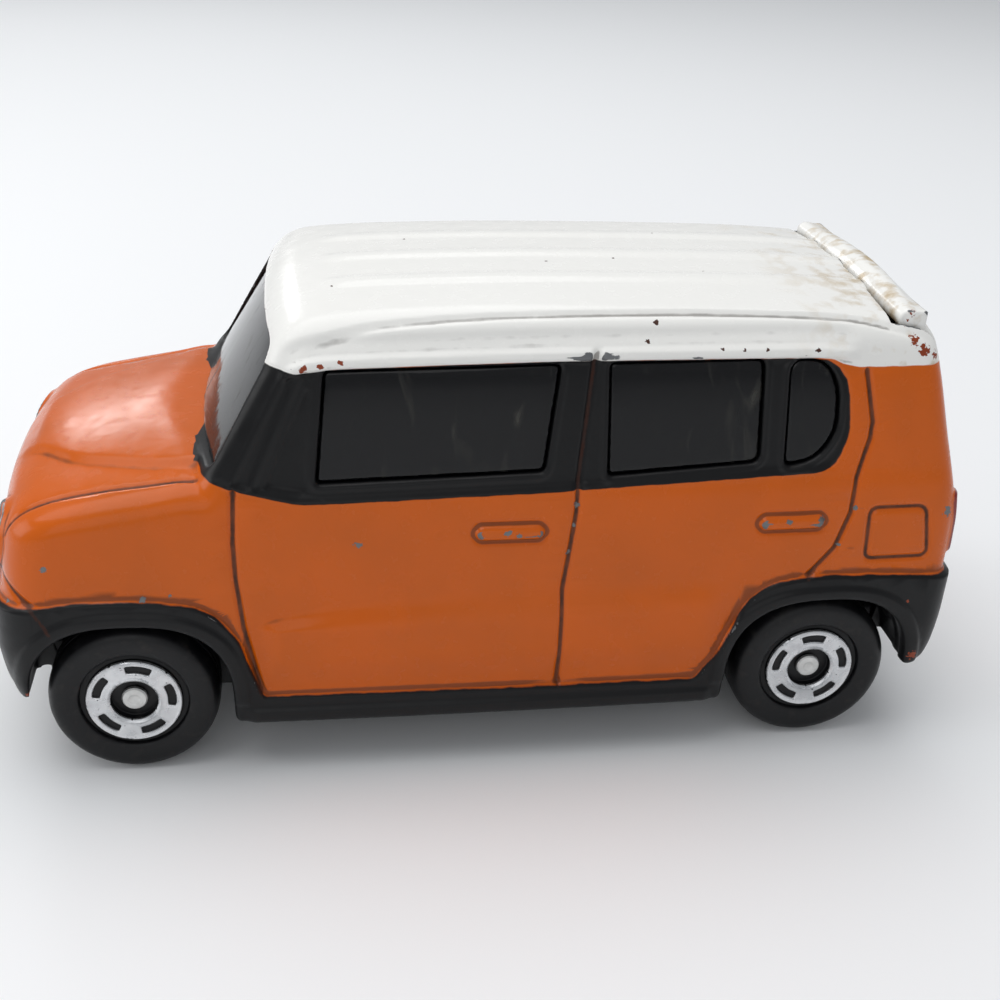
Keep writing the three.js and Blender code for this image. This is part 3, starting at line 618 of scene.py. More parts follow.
class Fields(Grid):
    """The casting's solids and the panes in it, all cut from one outside form."""

    def __init__(self):
        super().__init__((TAIL - 1.5, 0, SILL - 1.2), (NOSE + 1.5, SIDE + 1.4, ROOF + 1.2))
        self.plain = self.surface(relief=False)
        self.outer = self.surface(relief=True)

    def surface(self, relief):
        """The whole outside, closed below only in the detailed version."""
        x, y, z = self.x, self.y, self.z
        width = half_width(x, z)
        roof = roof_height(x, y)
        hood = hood_height(x, y)
        nose = nose_line(y, z)
        tail = tail_line(y, z)
        if relief:
            width = width + side_relief(x[:, :, 0], z[:, 0, :])[:, None, :]
            roof = roof + roof_relief(x, y)
            hood = hood + hood_relief(x, y)
            nose = nose + nose_relief(y, z)
            tail = tail - tail_relief(y, z)
        walls = smooth_max(y - width, x - nose, NOSE_CORNER)
        walls = smooth_max(walls, tail - x, TAIL_CORNER)
        cabin = smooth_max(z - roof, screen_field(x, y, z), BROW)
        top = smooth_min(z - hood, cabin, COWL)
        body = smooth_max(walls, top, SHOULDER)
        if relief:
            body = smooth_max(body, underside(x) - z, 0.5)
        return body

    def gate_region(self):
        """The opening that the tailgate fills."""
        return np.maximum(self.from_behind(GATE), self.x - ROOF_END)

    def windows(self):
        """The openings of the side windows and the windscreen, negative in them."""
        opening = np.maximum(self.from_behind(SCREEN_HOLE), A - SCREEN_DEEP - self.x)
        for outline in (FRONT_GLASS, REAR_GLASS, QUARTER_GLASS):
            opening = np.minimum(opening, np.maximum(self.from_side(outline), 6 - self.y))
        return opening

    def shell(self):
        """The casting without its tailgate: skin less cavity, windows, arches and gate."""
        x, y, z = self.x, self.y, self.z
        body = np.maximum(self.outer, -(self.plain + WALL))
        wells = np.minimum(round_well(x, z, FRONT_AXLE), round_well(x, z, REAR_AXLE))
        liner = largest(wells - 0.8, WHEEL_BACK - 0.4 - y, self.plain + 0.5, underside(x) + 0.4 - z,
                        z - AXLE_Z - 7.4)
        body = np.minimum(body, liner)
        opening = arches(x[:, :, 0], z[:, 0, :])[:, None, :]
        lip = largest(opening - 0.9, self.plain + 0.25, -self.plain - 2.4)
        body = smooth_min(body, smooth_max(lip, underside(x) + 0.15 - z, 0.2), 0.25)
        body = smooth_max(body, -self.windows(), 0.22)
        body = smooth_max(body, -largest(wells, WHEEL_BACK - 0.5 - y, y - WHEEL_FACE + 0.6), 0.1)
        body = smooth_max(body, -np.maximum(opening, WHEEL_FACE - 0.9 - y), 0.45)
        body = smooth_max(body, -self.gate_region(), 0.15)
        swing = np.hypot(x - HINGE[0], z - HINGE[2]) - 1.1
        body = smooth_max(body, -np.maximum(swing, y - GATE_HALF - 0.02), 0.12)
        for post_x, top in ((FRONT_RIVET, BELT - 2), (REAR_RIVET, SILL + 6)):
            post = smooth_max(np.hypot(x - post_x, y) - 1.35, z - top, 0.2)
            post = largest(post, base_top - 2.2 - z, 0.62 - np.hypot(x - post_x, y), self.plain + 0.3)
            body = np.minimum(body, post)
        return body

    def panes(self):
        """The clear insert: a thin sheet behind the casting, with a plug in every window."""
        x, z, depth = self.x, self.z, -self.plain
        ahead = np.minimum(x - A + 4.7, BELT - 0.1 - z)
        sheet = largest(WALL + PANE_GAP - depth, depth - WALL - 0.5, INSERT_REAR - x, BELT - 0.85 - z, ahead)
        plug = smooth_max(np.maximum(self.windows() + PANE_GAP, depth - WALL - 0.3), 0.34 - depth, 0.15)
        return np.minimum(sheet, np.maximum(plug, INSERT_REAR - x))

    def rear_pane(self):
        """The tailgate's pane: a plug in its window with a flange behind."""
        depth = -self.plain
        hole = self.from_behind(REAR_GLASS_HOLE)
        plug = smooth_max(np.maximum(hole + PANE_GAP, depth - WALL - 0.3), 0.34 - depth, 0.15)
        flange = largest(hole - 0.5, WALL + PANE_GAP - depth, depth - WALL - 0.5)
        return np.maximum(np.minimum(plug, flange), self.x - TAIL - 6)

    def gate(self):
        """The tailgate: the skin inside its opening, with its pivot barrel and spoiler."""
        x, y, z = self.x, self.y, self.z
        body = np.maximum(self.outer, -(self.plain + WALL))
        body = smooth_max(body, -self.from_behind(REAR_GLASS_HOLE), 0.22)
        body = smooth_max(body, self.gate_region() + SHUT_LINE, 0.15)
        body = smooth_max(body, x - HINGE[0] + 0.1, 0.1)
        round_pin = np.hypot(x - HINGE[0], z - HINGE[2])
        barrel = smooth_max(round_pin - 0.55, y - GATE_HALF + SHUT_LINE, 0.15)
        pin = largest(round_pin - 0.35, y - GATE_HALF - 0.5, self.plain + 0.2)
        barrel = np.minimum(barrel, pin)
        bridge = largest(np.abs(x - HINGE[0] + 0.6) - 0.6, np.abs(z - HINGE[2] - 0.05) - 0.42,
                         y - GATE_HALF + SHUT_LINE)
        body = smooth_min(smooth_min(body, barrel, 0.2), bridge, 0.25)
        return smooth_min(body, self.spoiler(), 0.3)

    def spoiler(self):
        """A blade along the tailgate's upper edge, with soft ends."""
        x, y, z = self.x, self.y, self.z
        front = HINGE[0] + 0.12 - 0.012 * np.maximum(y - 6, 0) ** 2
        rear = HINGE[0] - 1.35 + 0.0078 * y * y
        upper = HINGE[2] + 1.02 - 0.0062 * y * y
        blade = smooth_max(x - front + 0.4 * (z - upper + 0.2), rear - x, 0.5)
        blade = smooth_max(blade, y - GATE_HALF + SHUT_LINE, 0.6)
        slab = smooth_max(z - upper - 0.06 * (x - front), upper - 0.95 - z, 0.5)
        return smooth_max(blade, slab, 0.65)


# ---- From a field to a mesh --------------------------------------------------------------------


def sample(field, origin, points):
    """The field's value between its grid points."""
    place = np.clip((points - origin) / VOXEL, 0, np.array(field.shape) - 1.001)
    i = place.astype(int)
    f = (place - i).astype(F32)
    total = 0
    for dx in (0, 1):
        for dy in (0, 1):
            for dz in (0, 1):
                weight = (f[:, 0] if dx else 1 - f[:, 0]) * (f[:, 1] if dy else 1 - f[:, 1])
                weight = weight * (f[:, 2] if dz else 1 - f[:, 2])
                total = total + weight * field[i[:, 0] + dx, i[:, 1] + dy, i[:, 2] + dz]
    return total


def gradient(field, origin, points, step):
    sides = []
    for axis in range(3):
        shift = np.zeros(3)
        shift[axis] = step
        ahead = sample(field, origin, points + shift)
        behind = sample(field, origin, points - shift)
        sides.append((ahead, behind))
    slope = np.stack([(a - b) / (2 * step) for a, b in sides], axis=1)
    bulge = sum(a + b for a, b in sides) / 6 - sample(field, origin, points)
    return slope, bulge / step


def link(obj):
    bpy.context.collection.objects.link(obj)
    return obj


def mesh_object(name, points, faces):
    """An object from points in millimetres and faces."""
    data = bpy.data.meshes.new(name)
    data.from_pydata([tuple(p) for p in np.asarray(points) * MM], [], [tuple(f) for f in faces])
    return link(bpy.data.objects.new(name, data))


def apply_modifiers(obj):
    """Bakes the modifiers into the mesh."""
    graph = bpy.context.evaluated_depsgraph_get()
    made = bpy.data.meshes.new_from_object(obj.evaluated_get(graph))
    obj.modifiers.clear()
    obj.data = made
    return obj


def from_field(name, field, origin, triangles):
    """A smooth closed mesh of one field over the left half, mirrored to the right."""
    grid = openvdb.FloatGrid(1.0)
    grid.copyFromArray(np.ascontiguousarray(np.clip(field, -1, 1), dtype=F32))
    points, quads = grid.convertToQuads(isovalue=0.0)
    data = bpy.data.meshes.new(name)
    data.vertices.add(len(points))
    data.vertices.foreach_set("co", ((points * VOXEL + origin) * MM).astype(F32).ravel())
    data.loops.add(quads.size)
    data.loops.foreach_set("vertex_index", quads.astype(np.int32).ravel())
    data.polygons.add(len(quads))
    data.polygons.foreach_set("loop_start", np.arange(0, quads.size, 4, dtype=np.int32))
    data.update(calc_edges=True)
    obj = link(bpy.data.objects.new(name, data))
    share = triangles / 2 / (2 * len(quads))
    if share < 1:
        thin = obj.modifiers.new("thin", "DECIMATE")
        thin.ratio = share
        apply_modifiers(obj)
    halve(obj.data)
    settle(obj.data, field, origin)
    mirror = obj.modifiers.new("mirror", "MIRROR")
    mirror.use_axis = (False, True, False)
    mirror.merge_threshold = 0.01 * MM
    apply_modifiers(obj)
    smooth_from_field(obj.data, field, origin)
    return obj


def halve(data):
    """Cuts the mesh at y = 0 and keeps the left half open there."""
    cut = bmesh.new()
    cut.from_mesh(data)
    everything = cut.verts[:] + cut.edges[:] + cut.faces[:]
    bmesh.ops.bisect_plane(cut, geom=everything, plane_co=(0, 0, 0), plane_no=(0, 1, 0), clear_inner=True,
                           dist=0.02 * MM)
    cut.to_mesh(data)
    cut.free()


def vertex_places(data):
    flat = np.empty(len(data.vertices) * 3, F32)
    data.vertices.foreach_get("co", flat)
    return flat.reshape(-1, 3).astype(np.float64) / MM


def settle(data, field, origin):
    """Moves thinned vertices back onto the surface; the cut at y = 0 stays in its plane."""
    points = vertex_places(data)
    middle = points[:, 1] < 0.02
    for _ in range(2):
        slope, _bulge = gradient(field, origin, points, VOXEL)
        size = np.maximum((slope ** 2).sum(1), 0.15)
        step = (sample(field, origin, points) / size)[:, None] * slope
        length = np.linalg.norm(step, axis=1, keepdims=True)
        step *= np.minimum(1, 0.8 * VOXEL / np.maximum(length, 1e-9))
        step[middle, 1] = 0
        points -= step
    points[middle, 1] = 0
    data.vertices.foreach_set("co", (points * MM).astype(F32).ravel())


def smooth_from_field(data, field, origin):
    """Shading normals from the field itself, and a curvature attribute: high on edges, where the paint wears
    through, low in grooves, where it gives painted shade along with dirt.
    """
    points = vertex_places(data)
    folded = points.copy()
    folded[:, 1] = np.abs(folded[:, 1])
    slope, _bulge = gradient(field, origin, folded, VOXEL)
    _slope, bulge = gradient(field, origin, folded, 0.32)
    slope[points[:, 1] < 0, 1] *= -1
    slope[np.abs(points[:, 1]) < 0.01, 1] = 0
    slope /= np.maximum(np.linalg.norm(slope, axis=1, keepdims=True), 1e-9)
    data.polygons.foreach_set("use_smooth", np.ones(len(data.polygons), bool))
    data.normals_split_custom_set_from_vertices(slope.astype(F32))
    store(data, "wear_and_shade", bulge)


def store(data, name, values):
    layer = data.attributes.new(name, "FLOAT", "POINT")
    layer.data.foreach_set("value", np.asarray(values, F32))


# ---- Paint zones, as distances in millimetres that the paint's shader reads ---------------------

SHUT_LINES = (DOOR_FRONT, DOOR_MIDDLE, DOOR_REAR, FENDER_LINE)


def seam_distance(x, y, z):
    """Signed distance to the nearest shut line, so that its zero stays sharp between vertices."""
    best = outline_field(FUEL_FLAP, x, z)
    for line in SHUT_LINES:
        other = signed_line(line, x, z)
        best = np.where(np.abs(other) < np.abs(best), other, best)
    best = np.where(y > SIDE - 3.6, best, 9)
    hood_seam = y - curve(x, HOOD_SEAM)
    on_hood = (x > A - 4.4) & (z > BELT - 3.5)
    return np.where(on_hood & (np.abs(hood_seam) < np.abs(best)), hood_seam, best)


def paint_zones(data):
    """Stores how deep each vertex lies in every colour's zone, positive inside."""
    points = vertex_places(data)
    x, y, z = points[:, 0], np.abs(points[:, 1]), points[:, 2]
    frames = outline_field(FRAMES, x, z)
    pillars = np.where(x > A - SCREEN_DEEP, np.minimum(SIDE - 2.75 - y, RAIL - 2.2 - z), SIDE - 4.5 - y)
    frames = np.maximum(frames, np.where(x < ROOF_END, 5, pillars))
    cladding = outline_field(CLADDING, x, z)
    roof_edge = curve(x, [(TAIL, RAIL - 0.55), (R - 0.3, RAIL - 0.55), (R + 0.4, RAIL - 0.4), (R + 1.4, RAIL),
                          (A - 25, RAIL + 0.1), (A - 12.2, RAIL - 0.2), (A - 10.6, RAIL - 0.4),
                          (A - 9, RAIL - 0.15), (A - 5, RAIL + 0.1)])
    lamp = np.hypot(y - LAMP[0], z - LAMP[1]) - LAMP[2] + 0.15
    grille = np.maximum(y - GRILLE_HALF, np.abs(z - GRILLE_Z) - 1.15)
    seam = seam_distance(x, y, z)
    store(data, "white", z - roof_edge)
    seal = np.abs(outline_field(SCREEN_HOLE, y, z)) - 0.3
    on_screen = (x > A - SCREEN_DEEP) & (z < BELT + 2.5) & (screen_field(x, y, z) < 0.3)
    seal = np.where(on_screen, seal, 5)
    store(data, "black", -np.minimum(np.minimum(cladding, frames), seal))
    store(data, "silver", np.where(x > NOSE - 1.7, -lamp, -5))
    store(data, "dark", np.where(x > NOSE - 3, -grille, -5))
    store(data, "red", np.where(x < TAIL + 3, -outline_field(REAR_LAMP, y, z), -5))
    store(data, "seam", seam)
    store(data, "near", np.minimum(np.abs(seam), 3))


# ---- Materials ----------------------------------------------------------------------------------
# Noise scales are per metre of the object's own space: 5200 gives specks of about 0.2 mm, 900 blotches
# of a millimetre, 170 clouds of half a centimetre. Bump distances are metres.

# Bruises where the enamel is knocked off, (x, y, z, radius) in millimetres.
BARE_SPOTS = [
    (-1.0, 12.63, 16.16, 0.26), (-1.6, 12.63, 16.0, 0.22), (7.73, 12.39, 15.63, 0.26),
    (-18.16, 12.49, 16.26, 0.26), (-20.28, 12.37, 16.26, 0.28), (-22.33, 12.07, 16.85, 0.2),
    (-28.53, 11.84, 16.3, 0.4), (20.14, 12.4, 12.48, 0.22), (18.56, 12.36, 12.65, 0.16),
    (27.79, 11.31, 12.15, 0.2), (25.44, 12.1, 14.53, 0.26), (-5.08, 12.09, 17.65, 0.2),
    (-4.96, 12.21, 16.38, 0.16), (-4.68, 12.38, 14.65, 0.18), (-21.57, 12.28, 14.41, 0.16),
]
# Chips that only go down to the coat below, and dark specks of dirt, in the same form.
RUST_SPOTS = [
    (10.56, 10.92, 25.95, 0.3), (9.63, 10.93, 26.12, 0.22), (8.54, 10.89, 26.32, 0.18),
    (-24.6, 9.5, 27.81, 0.3), (-25.04, 10.16, 26.93, 0.42), (-25.68, 10.36, 26.37, 0.42),
    (-26.48, 10.16, 25.96, 0.32), (27.22, 11.9, 5.91, 0.3), (-27.69, 12.83, 6.32, 0.34),
    (-26.7, 12.69, 10.38, 0.14), (-24.89, 9.41, 28.39, 0.34),
]
ROOF_SPECKS = [
    (3.99, -3.28, 29.0, 0.15), (-4.35, 1.74, 29.12, 0.12), (8.77, 4.97, 28.72, 0.11),
    (-8.69, 1.1, 29.09, 0.1), (-12.48, -4.26, 29.07, 0.1), (-13.86, 3.32, 28.95, 0.11),
    (-9.41, 9.73, 28.07, 0.2), (-8.88, 10.37, 27.11, 0.17), (-13.22, 10.75, 26.77, 0.16),
    (-14.52, 10.81, 26.65, 0.15), (-15.9, 10.78, 26.68, 0.15), (-18.99, 10.74, 26.62, 0.22),
]


def spot_mask(tree, place, spots, ragged):
    """1 inside any of the spots, with ragged edges."""
    nearest = None
    for x, y, z, radius in spots:
        centre = (x * MM, y * MM, z * MM)
        offset = node(tree, "ShaderNodeVectorMath", {0: place, 1: centre}, operation="DISTANCE")
        share = node(tree, MATH, {0: offset.outputs["Value"], 1: radius * MM}, operation="DIVIDE")
        if nearest is not None:
            share = node(tree, MATH, {0: share, 1: nearest}, operation="MINIMUM")
        nearest = share
    rough = node(tree, MATH, {0: ragged, 1: 2.6, 2: nearest}, operation="MULTIPLY_ADD")
    return node(tree, MAP_RANGE, {"Value": rough, "From Min": 2.1, "From Max": 1.95})


def enamel_on_zinc():
    """Stoved orange enamel over a zinc casting, with white and black masks sprayed on top: orange
    peel in its gloss, grime with painted shade in every groove, and edges rubbed through to the grey metal."""
    made, tree = new_material("enamel_on_zinc")
    place = node(tree, COORDINATES).outputs["Object"]
    fine, mid, broad, peel = (
        node(tree, NOISE, {"Vector": place, "Scale": scale, "Detail": detail})
        for scale, detail in ((5200.0, 3.0), (900.0, 4.0), (170.0, 5.0), (1500.0, 2.0))
    )
    names = ("white", "black", "silver", "red", "dark", "wear_and_shade", "seam", "near")
    zone = {name: node(tree, "ShaderNodeAttribute", attribute_name=name).outputs["Fac"] for name in names}
    split = node(tree, "ShaderNodeSeparateXYZ", {0: place})

    # Coats from the bottom up: a brown film on the orange, then the sprayed masks, each with a ragged edge.
    film = node(tree, MAP_RANGE, {"Value": broad, "From Min": 0.42, "From Max": 0.75, "To Max": 0.2})
    layers = [(film, srgb("7A3A12"))]
    for name, coat in (("black", "040406"), ("white", "EFEEEA"), ("dark", "101012"), ("silver", "AEB2B6"),
                       ("red", "7E0F0C")):
        ragged = node(tree, MATH, {0: mid, 1: 0.14, 2: zone[name]}, operation="MULTIPLY_ADD")
        mask = node(tree, MAP_RANGE, {"Value": ragged, "From Min": 0.04, "From Max": 0.10})
        layers.append((mask, srgb(coat)))
    on_black, on_white = layers[1][0], layers[2][0]

    # Yellowed blotches on the white behind the rear axle.
    rear = node(tree, MAP_RANGE, {"Value": split, "From Min": (R + 4) * MM, "From Max": (R - 5) * MM})
    stained = node(tree, MATH, {0: mid, 1: broad}, operation="MULTIPLY")
    stained = node(tree, MAP_RANGE, {"Value": stained, "From Min": 0.24, "From Max": 0.36})
    for share in (rear, on_white, 0.85):
        stained = node(tree, MATH, {0: stained, 1: share}, operation="MULTIPLY")
    layers.append((stained, srgb("AD8F52")))

    # Shut lines: paint has run into them, dark and uneven, but not on the white roof.
    seam = node(tree, MATH, {0: zone["seam"]}, operation="ABSOLUTE")
    seam = node(tree, MATH, {0: fine, 1: 0.10, 2: seam}, operation="MULTIPLY_ADD")
    line = node(tree, MAP_RANGE, {"Value": seam, "From Min": 0.20, "From Max": 0.10})
    packed = node(tree, MAP_RANGE, {"Value": mid, "From Min": 0.35, "From Max": 0.62, "To Min": 0.45,
                                    "To Max": 0.9})
    off_white = node(tree, MATH, {0: 1.0, 1: on_white}, operation="SUBTRACT")
    close = node(tree, MAP_RANGE, {"Value": zone["near"], "From Min": 0.36, "From Max": 0.26})
    for share in (packed, off_white, close):
        line = node(tree, MATH, {0: line, 1: share}, operation="MULTIPLY")
    layers.append((line, srgb("3A1C10")))
    # Dirt and painted shade in grooves and corners: dark brown where the surface curves inward. It doesn't
    # show on the black.
    low = node(tree, MATH, {0: mid, 1: 0.10, 2: zone["wear_and_shade"]}, operation="MULTIPLY_ADD")
    grime_and_shade = node(tree, MAP_RANGE, {"Value": low, "From Min": -0.01, "From Max": -0.09, "To Max": 0.6})
    off_black = node(tree, MATH, {0: 1.0, 1: on_black}, operation="SUBTRACT")
    layers.append((node(tree, MATH, {0: grime_and_shade, 1: off_black}, operation="MULTIPLY"), srgb("38281E")))

    # Bare grey zinc where edges are rubbed, less on the black, and at every bruise.
    high = node(tree, MATH, {0: mid, 1: 0.34, 2: zone["wear_and_shade"]}, operation="MULTIPLY_ADD")
    high = node(tree, MATH, {0: on_black, 1: -0.06, 2: high}, operation="MULTIPLY_ADD")
    bare = node(tree, MAP_RANGE, {"Value": high, "From Min": 0.425, "From Max": 0.44})
    bare = node(tree, MATH, {0: bare, 1: spot_mask(tree, place, BARE_SPOTS, fine)}, operation="MAXIMUM")
    for spots, coat in ((RUST_SPOTS, "8A3B1E"), (ROOF_SPECKS, "4A3027")):
        layers.append((spot_mask(tree, place, spots, fine), srgb(coat)))
    layers.append((bare, srgb("7C7E80")))

    colour = node(tree, MIX, {0: broad, 6: srgb("CA5905"), 7: srgb("D16109")}, data_type="RGBA").outputs[2]
    for mask, coat in layers:
        colour = node(tree, MIX, {0: mask, 6: colour, 7: coat}, data_type="RGBA").outputs[2]

    # Dirt with its painted shade, and bare metal, are duller than enamel, the black is satin, and the skin
    # has orange peel.
    dull = grime_and_shade
    for mask in (line, bare):
        dull = node(tree, MATH, {0: dull, 1: mask}, operation="MAXIMUM")
    gloss = node(tree, MAP_RANGE, {"Value": mid, "From Min": 0.3, "From Max": 0.8, "To Min": 0.17,
                                   "To Max": 0.34})
    gloss = node(tree, MATH, {0: on_black, 1: 0.16, 2: gloss}, operation="MULTIPLY_ADD")
    roughness = node(tree, MATH, {0: dull, 1: 0.35, 2: gloss}, operation="MULTIPLY_ADD")
    skin = node(tree, BUMP, {"Height": peel, "Strength": 0.2, "Distance": 0.00006})
    chipped = node(tree, BUMP, {"Height": bare, "Strength": 0.6, "Distance": 0.00004, "Normal": skin},
                   invert=True)
    return surfaced(made, {
        "Base Color": colour, "Metallic": bare, "Roughness": roughness, "Normal": chipped,
        "Specular IOR Level": 0.26,
        "Coat Weight": 0.08, "Coat Roughness": 0.08,
    })


def smoke_clear_styrene():
    """The dark clear insert: hard gloss with rub marks and dust that has settled on it."""
    made, tree = new_material("smoke_clear_styrene")
    place = node(tree, COORDINATES).outputs["Object"]
    stretched = node(tree, "ShaderNodeMapping", {0: place, 3: (1.0, 1.0, 0.22)})
    rubs = node(tree, NOISE, {"Vector": stretched, "Scale": 700.0, "Detail": 6.0, "Distortion": 1.2})
    dust = node(tree, NOISE, {"Vector": place, "Scale": 6500.0, "Detail": 2.0})
    streaks = node(tree, MAP_RANGE, {"Value": rubs, "From Min": 0.58, "From Max": 0.75})
    specks = node(tree, MAP_RANGE, {"Value": dust, "From Min": 0.70, "From Max": 0.76})
    haze = node(tree, MATH, {0: specks, 1: 0.35, 2: streaks}, operation="MULTIPLY_ADD")
    roughness = node(tree, MAP_RANGE, {"Value": haze, "To Min": 0.07, "To Max": 0.32})
    colour = node(tree, MIX, {0: haze, 6: srgb("1C1C20"), 7: srgb("4A4944")}, data_type="RGBA").outputs[2]
    through = node(tree, MAP_RANGE, {"Value": haze, "To Min": 0.75, "To Max": 0.4})
    return surfaced(made, {
        "Base Color": colour, "Roughness": roughness, "Transmission Weight": through, "IOR": 1.42,
        "Specular IOR Level": 0.22,
    })


def moulded_plastic(name, dark, light, gloss, dusty):
    """A dyed moulding: faint flow in its colour, a fine spark-eroded grain, dust lying in patches."""
    made, tree = new_material(name)
    place = node(tree, COORDINATES).outputs["Object"]
    flow = node(tree, NOISE, {"Vector": place, "Scale": 260.0, "Detail": 4.0, "Distortion": 0.6})
    grain, dust = (node(tree, NOISE, {"Vector": place, "Scale": scale, "Detail": detail})
                   for scale, detail in ((9000.0, 2.0), (1300.0, 5.0)))
    colour = node(tree, MIX, {0: flow, 6: srgb(dark), 7: srgb(light)}, data_type="RGBA").outputs[2]
    lying = node(tree, MAP_RANGE, {"Value": dust, "From Min": 0.55, "From Max": 0.8, "To Max": dusty})
    colour = node(tree, MIX, {0: lying, 6: colour, 7: srgb("6B655E")}, data_type="RGBA").outputs[2]
    roughness = node(tree, MAP_RANGE, {"Value": dust, "From Min": 0.3, "From Max": 0.7, "To Min": gloss,
                                       "To Max": gloss + 0.18})
    bump = node(tree, BUMP, {"Height": grain, "Strength": 0.12, "Distance": 0.00003})
    return surfaced(made, {
        "Base Color": colour, "Roughness": roughness, "Normal": bump, "Specular IOR Level": 0.32,
    })


def hot_foil():
    """Silver foil hot-stamped on plastic: mirror-like where whole, grey and pitted where worn."""
    made, tree = new_material("hot_stamped_foil")
    place = node(tree, COORDINATES).outputs["Object"]
    pits, clouds = (node(tree, NOISE, {"Vector": place, "Scale": scale, "Detail": detail})
                    for scale, detail in ((4200.0, 5.0), (1100.0, 3.0)))
    worn = node(tree, MAP_RANGE, {"Value": pits, "From Min": 0.66, "From Max": 0.74})
    tone = node(tree, MIX, {0: clouds, 6: srgb("B4B6BA"), 7: srgb("F4F5F6")}, data_type="RGBA").outputs[2]
    colour = node(tree, MIX, {0: worn, 6: tone, 7: srgb("4B4C50")}, data_type="RGBA").outputs[2]
    roughness = node(tree, MAP_RANGE, {"Value": clouds, "From Min": 0.3, "From Max": 0.7, "To Min": 0.16,
                                       "To Max": 0.4})
    bump = node(tree, BUMP, {"Height": pits, "Strength": 0.25, "Distance": 0.00005})
    return surfaced(made, {"Base Color": colour, "Metallic": 0.85, "Roughness": roughness, "Normal": bump})


def worked_steel(name, dark, light, roughness):
    """Bare steel with drawn streaks and a little tarnish."""
    made, tree = new_material(name)
    place = node(tree, COORDINATES).outputs["Object"]
    drawn = node(tree, "ShaderNodeMapping", {0: place, 3: (1.0, 0.08, 1.0)})
    streaks = node(tree, NOISE, {"Vector": drawn, "Scale": 6000.0, "Detail": 3.0})
    tarnish = node(tree, NOISE, {"Vector": place, "Scale": 1500.0, "Detail": 4.0})
    colour = node(tree, MIX, {0: tarnish, 6: srgb(dark), 7: srgb(light)}, data_type="RGBA").outputs[2]
    dullness = node(tree, MAP_RANGE, {"Value": streaks, "From Min": 0.3, "From Max": 0.7,
                                      "To Min": roughness - 0.08, "To Max": roughness + 0.12})
    bump = node(tree, BUMP, {"Height": streaks, "Strength": 0.2, "Distance": 0.00002})
    return surfaced(made, {"Base Color": colour, "Metallic": 1.0, "Roughness": dullness, "Normal": bump})


# ---- Turned shapes --------------------------------------------------------------------------------


def turned(name, profile, sides=96, closed=False):
    """A body turned about Y from (radius, y) points; it ends on the axis, or closes on itself."""
    points, faces, rings = [], [], []
    for radius, along in profile:
        if radius < 1e-6:
            rings.append([len(points)] * sides)
            points.append((0, along, 0))
            continue
        rings.append(list(range(len(points), len(points) + sides)))
        for k in range(sides):
            angle = 2 * math.pi * k / sides
            points.append((radius * math.cos(angle), along, radius * math.sin(angle)))
    for ring, following in zip(rings, rings[1:] + (rings[:1] if closed else [])):
        for k in range(sides):
            after = (k + 1) % sides
            corners = [ring[k], ring[after], following[after], following[k]]
            faces.append(list(dict.fromkeys(corners)))
    return mesh_object(name, points, faces)


def finish_mesh(obj, angle=35.0):
    """Faces outward, smooth except across edges sharper than the angle."""
    shape = bmesh.new()
    shape.from_mesh(obj.data)
    bmesh.ops.remove_doubles(shape, verts=shape.verts, dist=0.0005 * MM)
    bmesh.ops.recalc_face_normals(shape, faces=shape.faces)
    shape.to_mesh(obj.data)
    shape.free()
    obj.data.polygons.foreach_set("use_smooth", np.ones(len(obj.data.polygons), bool))
    obj.data.set_sharp_from_angle(angle=math.radians(angle))
    return obj


def set_down(obj, place, turn=None):
    """Moves the mesh, never the object, to its place in millimetres."""
    matrix = Matrix.Translation(Vector(place) * MM)
    obj.data.transform(matrix @ turn.to_4x4() if turn else matrix)
    return obj


def fit_out(obj, body, slot, material, *nodes):
    """Gives a finished piece its material and says where it belongs."""
    obj.data.materials.clear()
    obj.data.materials.append(material)
    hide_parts(*nodes)
    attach(obj, body)


# ---- Wheels ---------------------------------------------------------------------------------------

HALF_WHEEL = (WHEEL_FACE - WHEEL_BACK) / 2
RING_OUTER = 2.84
RING_INNER = 1.42
HUB_DEPTH = 0.75
BORE = 0.61


def tyre_and_rim(name):
    """One black moulding: tread with two grooves, stepped sidewall, land for the foil, hub recess."""
    f, r = HALF_WHEEL, WHEEL_RADIUS
    profile = [
        (BORE, f - HUB_DEPTH), (RING_INNER - 0.08, f - HUB_DEPTH), (RING_INNER - 0.03, f - HUB_DEPTH + 0.05),
        (RING_INNER, f - 0.36), (RING_INNER + 0.03, f - 0.34), (RING_OUTER - 0.03, f - 0.34),
        (RING_OUTER, f - 0.36), (RING_OUTER + 0.03, f - 0.52), (RING_OUTER + 0.1, f - 0.56), (3.16, f - 0.56),
        (3.22, f - 0.52), (3.27, f - 0.24), (3.34, f - 0.17), (3.5, f - 0.13), (3.8, f - 0.05), (4.15, f),
        (4.42, f - 0.02), (4.62, f - 0.09), (4.78, f - 0.2), (4.92, f - 0.38), (5.02, f - 0.62),
        (r - 0.02, f - 0.9), (r, f - 1.15), (r, 0.36), (r - 0.07, 0.31), (r - 0.07, 0.2), (r, 0.15),
        (r, -0.15), (r - 0.07, -0.2), (r - 0.07, -0.31), (r, -0.36), (r, 0.85 - f), (r - 0.03, 0.5 - f),
        (r - 0.14, 0.25 - f), (r - 0.35, 0.08 - f), (4.4, -f), (2.55, -f), (2.45, 0.05 - f), (2.35, 0.3 - f),
        (BORE + 0.05, 0.3 - f), (BORE, 0.35 - f),
    ]
    return turned(name, profile, 144, closed=True)


